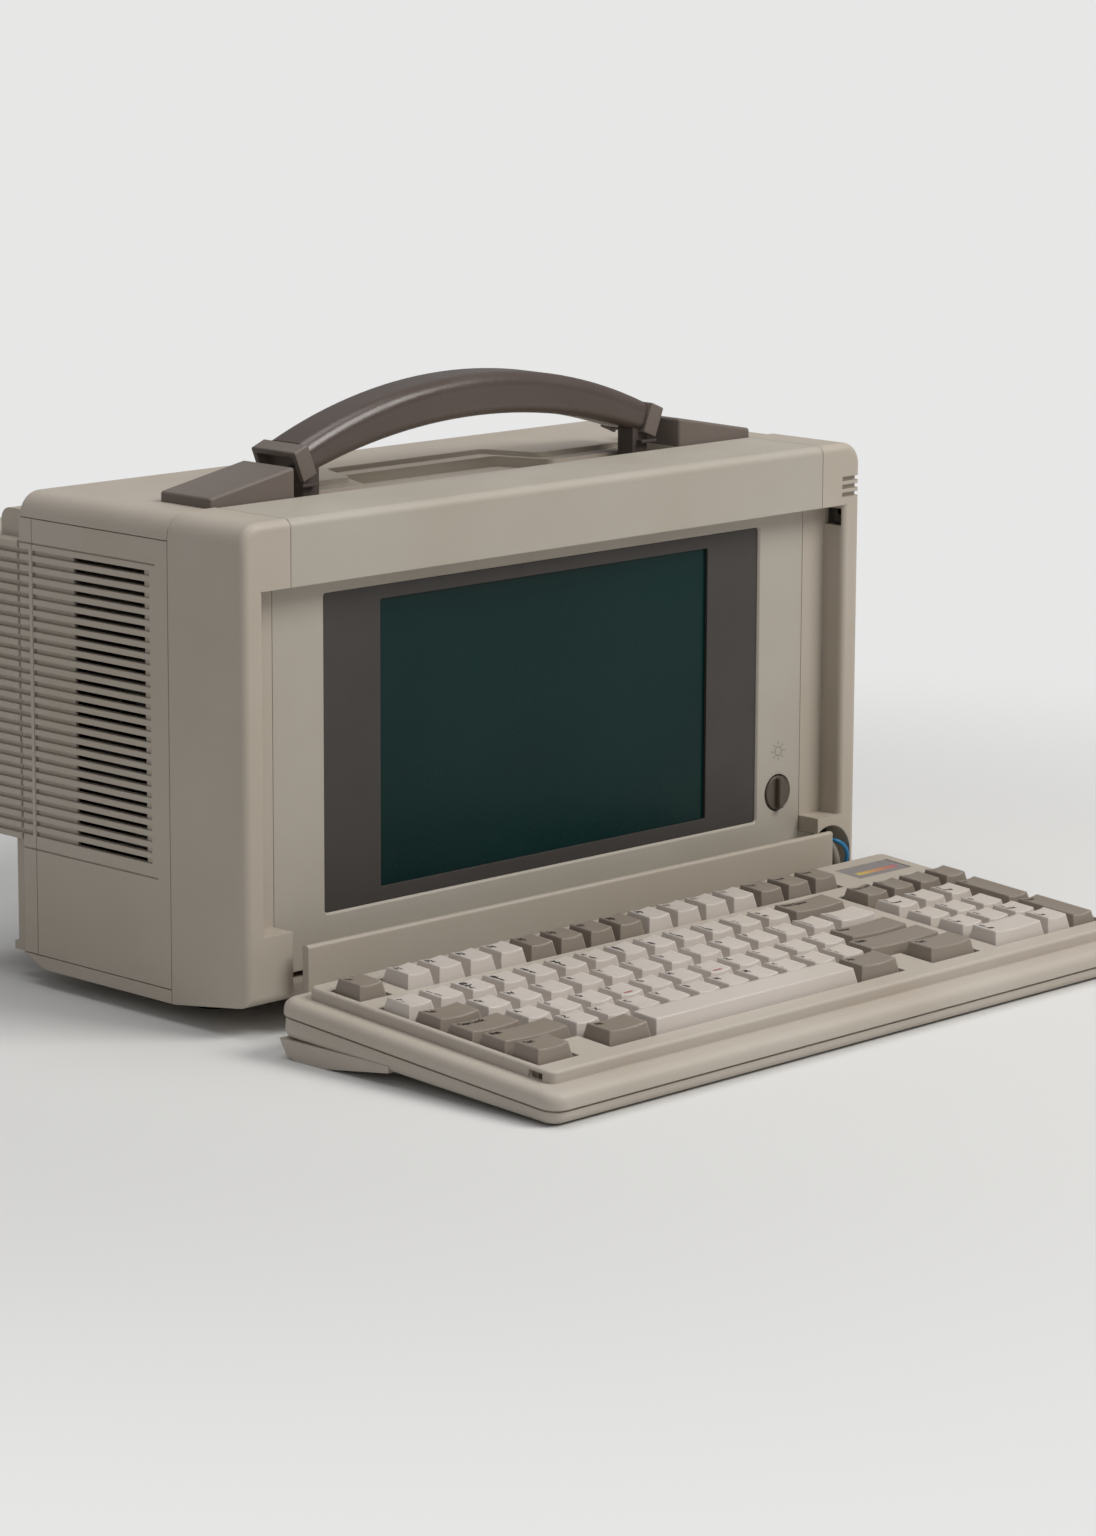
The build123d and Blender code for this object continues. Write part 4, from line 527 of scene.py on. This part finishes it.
def key_words(group, legends):
    """Place a group's legends at the rear left of its caps, back row first."""
    patches = sorted((top_patch(points) for points in islands(NODES[group], KEYBOARD_FRAME)),
                     key=lambda b: (-round(b[3] / HALF_PITCH), b[0]))
    assert len(patches) == len(legends), (group, len(patches), legends)
    size = NUMBER_H if group == "number_row_keys" else LETTER_H
    ink, marks = [], []
    for (x0, x1, y0, y1), legend in zip(patches, legends):
        y = y1 - LEGEND_INSET_Y
        for line in legend_lines(legend):
            height = line_height(line, size, x1 - x0)
            y -= height
            ink.append((lettering(line, height), x0 + LEGEND_INSET_X, y))
            y -= LINE_GAP
        if legend in MARK_KEYS:
            marks.append((mark_bar(), (x0 + x1) / 2 - MARK_W / 2, y0 + MARK_RISE))
    return ink, marks


def print_keys():
    """Legends and marks of all key groups, each riding its own group."""
    for group, text in LEGENDS.items():
        ink, marks = key_words(group, text.split())
        print_words(group + "_print", NODES[group], ink, INK, group)
        if marks:
            print_words(group + "_marks", NODES[group], marks, MARK_INK, group)


# ---------------------------------------------------------------- label
# Extent of the film and of its stripe, in metres of the keyboard's frame. STRIPE_MIDDLE is the place of the
# orange as a share of the stripe's length.
LABEL_X = (0.1476, 0.1855)
LABEL_Y = (-0.0349, -0.0190)
LABEL_Z = (0.0120, 0.0125)
LABEL_ROUND = 0.0012
STRIPE_X = (0.1525, 0.182)
STRIPE_Y = -0.0288
STRIPE_HALF = 0.0017
STRIPE_BLUR = 0.0002
STRIPE_FADE = 0.0004
STRIPE_MIDDLE = 0.45


def label_material():
    """Satin printed film: warm grey with one stripe that runs from yellow over orange to rose."""
    g = Graph("label_film")
    split = g.node("ShaderNodeSeparateXYZ")
    g.feed(g.coords, split.inputs[0])
    across = split.outputs["Y"]
    along = split.outputs["X"]
    speckle = g.noise(scale=1500, detail=2, rough=0.6)
    ground = g.mix(g.span(speckle, low=0.4, high=0.65), srgb(140, 134, 132), srgb(130, 124, 122))
    ramp = g.node("ShaderNodeValToRGB")
    colours = ramp.color_ramp.elements
    colours[0].color = srgb(206, 186, 76)
    colours[1].color = srgb(178, 96, 104)
    colours.new(STRIPE_MIDDLE).color = srgb(198, 140, 92)
    g.feed(g.span(along, *STRIPE_X), ramp.inputs["Fac"])
    offset = g.maths("ABSOLUTE", g.maths("SUBTRACT", across, STRIPE_Y))
    band = g.span(offset, STRIPE_HALF + STRIPE_BLUR, STRIPE_HALF)
    left, right = STRIPE_X
    ends = g.maths("MULTIPLY", g.span(along, left, left + STRIPE_FADE),
                   g.span(along, right, right - STRIPE_FADE))
    g.surface(Base_Color=g.mix(g.maths("MULTIPLY", band, ends), ground, ramp.outputs["Color"]),
              Roughness=g.patches(scale=80, detail=3, rough=0.5, band=(0.3, 0.7), to=(0.25, 0.4)))
    g.bump(speckle, strength=0.05, distance=0.0001)
    return g.material


def rounded_outline(x, y, radius, steps=5):
    """Corner points of a rounded rectangle, counter-clockwise."""
    corners = ((x[1] - radius, y[0] + radius, -0.5), (x[1] - radius, y[1] - radius, 0),
               (x[0] + radius, y[1] - radius, 0.5), (x[0] + radius, y[0] + radius, 1))
    return [(cx + radius * math.cos(math.pi * (start + k / steps / 2)),
             cy + radius * math.sin(math.pi * (start + k / steps / 2)))
            for cx, cy, start in corners for k in range(steps + 1)]


def make_label():
    """Printed film plate in the recess at the keyboard's rear right corner."""
    rim = rounded_outline(LABEL_X, LABEL_Y, LABEL_ROUND)
    count = len(rim)
    points = [(x, y, z) for z in LABEL_Z for x, y in rim]
    faces = [tuple(range(count))[::-1], tuple(range(count, 2 * count))]
    faces += [(i, (i + 1) % count, count + (i + 1) % count, count + i) for i in range(count)]
    plate = new_piece("keyboard_label", points, faces, label_material())
    plate.matrix_world = KEYBOARD_FRAME
    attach(plate, "keyboard")


# ---------------------------------------------------------------- symbol over the knob
# Sizes in millimetres: the middle, the ring's two radii, and a ray's start, end and half width.
SUN_X, SUN_Y, SUN_Z = 159.1, 12.74, 80.3
SUN_RING = (2.0, 2.55)
SUN_RING_STEPS = 32
SUN_RAY = (3.3, 4.9, 0.28)
SUN_RAYS = 8

PANEL_INK = moulded("panel_print", srgb(138, 131, 120), srgb(144, 137, 126), grain=0.2, wear_and_highlight=0.0)


def make_symbol():
    """Sun mark over the brightness knob: a ring with short rays, printed thin on the panel."""
    points, faces = [], []
    for i in range(SUN_RING_STEPS):
        angle = 2 * math.pi * i / SUN_RING_STEPS
        points += [(SUN_X + r * math.cos(angle), SUN_Y, SUN_Z + r * math.sin(angle)) for r in SUN_RING]
        following = 2 * ((i + 1) % SUN_RING_STEPS)
        faces.append((2 * i, 2 * i + 1, following + 1, following))
    near, far, half = SUN_RAY
    for i in range(SUN_RAYS):
        angle = 2 * math.pi * i / SUN_RAYS
        along = (math.cos(angle), math.sin(angle))
        side = (-math.sin(angle), math.cos(angle))
        start = len(points)
        points += [(SUN_X + r * along[0] + w * side[0], SUN_Y, SUN_Z + r * along[1] + w * side[1])
                   for r, w in ((near, -half), (far, -half), (far, half), (near, half))]
        faces.append((start, start + 1, start + 2, start + 3))
    mark = new_piece("brightness_symbol", [case_point(*p) for p in points], faces, PANEL_INK)
    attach(mark, "display")


# ---------------------------------------------------------------- cord and wire
# Sizes in metres. The curls grow over CURL_RAMP at both ends, and stay below CURL_CEILING.
CORD_RADIUS = 0.0023
CORD_STEP = 0.00035
CURL_RADIUS = 0.0042
CURL_PITCH = 0.0049
CURL_RAMP = 0.008
CURL_CEILING = 0.009

# Route in millimetres of the case's drawing: out of the bay, then from the end of the curls to the boss in
# the keyboard.
LEAD = [(190.0, 20.0, 33.5), (190.0, 8.0, 33.5), (190.3, 2.0, 26.0), (189.5, 0.0, 15.0),
        (181.0, -2.5, 7.8), (166.0, -4.0, 6.7), (154.0, -4.0, 6.7)]
TAIL = [(44.0, -4.0, 6.7), (30.0, -4.0, 6.7), (11.5, -7.5, 6.4), (0.212, -20.764, 6.2),
        (0.447, -36.762, 6.2)]

WIRE_RADIUS = 0.0011
WIRE = [(188.5, 9.0, 33.0), (190.5, 4.0, 32.4), (194.0, 1.2, 30.6), (197.6, 0.9, 27.2),
        (199.2, 1.4, 22.0), (198.0, 4.0, 15.0), (196.0, 9.0, 9.0)]
WIRE_BLUE = moulded("blue_wire", srgb(56, 150, 194), srgb(40, 124, 172), 0.35, grain=0.2, wear_and_highlight=0.2,
                    edge=0.0003)

ROUTE_STEPS = 24
ROUTE_ORDER = 3


def route_line(points):
    """Points along the smooth NURBS line of a route."""
    data = bpy.data.curves.new("route", "CURVE")
    data.dimensions = "3D"
    data.resolution_u = ROUTE_STEPS
    spline = data.splines.new("NURBS")
    spline.points.add(len(points) - 1)
    for target, point in zip(spline.points, points):
        target.co = (*point, 1.0)
    spline.order_u = ROUTE_ORDER
    spline.use_endpoint_u = True
    return [v.co.copy() for v in evaluated_mesh(data).vertices]


def resample(line, step):
    """The same line in even steps."""
    out, carry = [line[0]], 0.0
    for a, b in zip(line, line[1:]):
        length = (b - a).length
        while length > 0 and carry + length >= step:
            a = a.lerp(b, (step - carry) / length)
            length = (b - a).length
            out.append(a.copy())
            carry = 0.0
        carry += length
    return out + [line[-1]]


def curled(line, start_x, end_x):
    """The line with curls wound round it between two places along X."""
    out, travelled = [], 0.0
    for i, point in enumerate(line):
        inside = min(start_x - point.x, point.x - end_x)
        if inside <= 0 or point.z > CURL_CEILING:
            out.append(point)
            continue
        travelled += (point - line[i - 1]).length
        angle = 2 * math.pi * travelled / CURL_PITCH
        radius = CURL_RADIUS * min(1.0, inside / CURL_RAMP)
        along = (line[min(i + 1, len(line) - 1)] - line[i - 1]).normalized()
        side = along.cross(Vector((0, 0, 1))).normalized()
        over = side.cross(along)
        out.append(point + radius * (side * math.sin(angle) + over * math.cos(angle)))
    return out


def tube(name, line, radius, material, sides=12):
    """Round tube along a line, with even twist."""
    mesh = bmesh.new()
    tangent = (line[1] - line[0]).normalized()
    side = tangent.orthogonal().normalized()
    rings = []
    for i, point in enumerate(line):
        ahead = (line[min(i + 1, len(line) - 1)] - line[max(i - 1, 0)]).normalized()
        side = (tangent.rotation_difference(ahead) @ side).normalized()
        tangent = ahead
        other = tangent.cross(side)
        rings.append([mesh.verts.new(point + radius * (side * math.cos(a) + other * math.sin(a)))
                      for a in (2 * math.pi * k / sides for k in range(sides))])
    for low, high in zip(rings, rings[1:]):
        for k in range(sides):
            mesh.faces.new((low[k], low[(k + 1) % sides], high[(k + 1) % sides], high[k]))
    mesh.faces.new(rings[0][::-1])
    mesh.faces.new(rings[-1])
    for face in mesh.faces:
        face.smooth = len(face.verts) == 4
    data = bpy.data.meshes.new(name)
    mesh.to_mesh(data)
    mesh.free()
    data.materials.append(material)
    return add_object(name, data)


def make_cord():
    """The keyboard's cord with its real curls, in the place of the CAD model's plain tubes."""
    line = resample(route_line([case_point(*p) for p in LEAD + TAIL]), CORD_STEP)
    line = curled(line, case_point(*LEAD[-1]).x, case_point(*TAIL[0]).x)
    piece = tube("keyboard_cord_curly", line, CORD_RADIUS, CORD)
    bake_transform(piece)
    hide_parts("keyboard_cord", "keyboard_cord_coil")


def make_wire():
    """Blue earth wire that loops through the cord bay, both of its ends held inside the case."""
    piece = tube("bay_wire", route_line([case_point(*p) for p in WIRE]), WIRE_RADIUS, WIRE_BLUE, sides=10)
    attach(piece, "case")


# ---------------------------------------------------------------- light and ground
# Sizes and places in metres.
FLOOR_SIDE = 60
FLOOR_MIDDLE = (20, 20, 0)
FLOOR_COLOUR = (0.74, 0.74, 0.73, 1.0)
BACKGROUND = (0.8, 0.8, 0.795, 1.0)
# Distances from the row's origin, in metres, between which the floor goes over into the background.
FADE = (0.36, 0.85)
SKY_COLOUR = (0.97, 0.98, 1.0, 1.0)
SKY_STRENGTH = 0.24
WHITE = (1, 1, 1)

# Square lamps: place, the point that they face, side in metres, watts and colour.
LAMPS = {
    "key_light": ((0.8, -1.5, 1.8), (0, -0.05, 0.1), 1.2, 35, (1.0, 0.98, 0.95)),
    "top_light": ((-0.1, 0.2, 2.2), (0, 0, 0.1), 1.6, 18, WHITE),
    "fill_light": ((-1.6, -1.6, 1.1), (0, 0, 0.1), 0.6, 1.8, WHITE),
}


def mix_shaders(tree, factor, first, second, output):
    """Mix two shaders by a factor into the surface of an output node."""
    blend = tree.nodes.new("ShaderNodeMixShader")
    tree.links.new(factor, blend.inputs["Fac"])
    tree.links.new(first.outputs[0], blend.inputs[1])
    tree.links.new(second.outputs[0], blend.inputs[2])
    tree.links.new(blend.outputs[0], tree.nodes[output].inputs["Surface"])


def floor_material():
    """Pale paint round the object, that goes over into an even pale ground for the camera far away."""
    g = Graph("floor_paint")
    cloud = g.patches(scale=3, detail=2, rough=0.5, band=(0.3, 0.7))
    g.surface(Base_Color=g.mix(cloud, FLOOR_COLOUR, shade(FLOOR_COLOUR, 0.985)), Roughness=0.85,
              Specular_IOR_Level=0.1)
    glow = g.node("ShaderNodeEmission")
    g.feed(BACKGROUND, glow.inputs["Color"])
    distance = g.node("ShaderNodeVectorMath", operation="LENGTH")
    g.feed(g.node("ShaderNodeNewGeometry").outputs["Position"], distance.inputs[0])
    far = g.span(distance.outputs["Value"], *FADE, curve="SMOOTHSTEP")
    ray = g.node("ShaderNodeLightPath")
    shown = g.maths("MAXIMUM", ray.outputs["Is Camera Ray"], ray.outputs["Is Transmission Ray"])
    mix_shaders(g.tree, g.maths("MULTIPLY", far, shown), g.bsdf, glow, "Material Output")
    return g.material


def make_floor():
    """Wide floor under the object."""
    bpy.ops.mesh.primitive_plane_add(size=FLOOR_SIDE, location=FLOOR_MIDDLE)
    floor = bpy.context.object
    floor.name = "floor"
    floor.data.materials.append(floor_material())


def make_sky():
    """World that lights the object weakly, and shows the camera the background's colour."""
    world = bpy.data.worlds.new("world")
    world.use_nodes = True
    bpy.context.scene.world = world
    tree = world.node_tree
    lit = tree.nodes["Background"]
    lit.inputs["Color"].default_value = SKY_COLOUR
    lit.inputs["Strength"].default_value = SKY_STRENGTH
    seen = tree.nodes.new("ShaderNodeBackground")
    seen.inputs["Color"].default_value = BACKGROUND
    ray = tree.nodes.new("ShaderNodeLightPath")
    mix_shaders(tree, ray.outputs["Is Camera Ray"], lit, seen, "World Output")


def make_lamps():
    """Square area lamps of the table."""
    for name, (place, aim, side, watts, colour) in LAMPS.items():
        data = bpy.data.lights.new(name, "AREA")
        data.shape = "SQUARE"
        data.size = side
        data.energy = watts
        data.color = colour
        lamp = add_object(name, data)
        lamp.location = place
        lamp.rotation_euler = (Vector(aim) - Vector(place)).to_track_quat("-Z", "Y").to_euler()


# ---------------------------------------------------------------- the scene
place_camera()
dress_nodes()
print_keys()
make_cord()
make_wire()
make_label()
make_symbol()
make_floor()
make_sky()
make_lamps()

bpy.context.scene.view_settings.view_transform = "Standard"
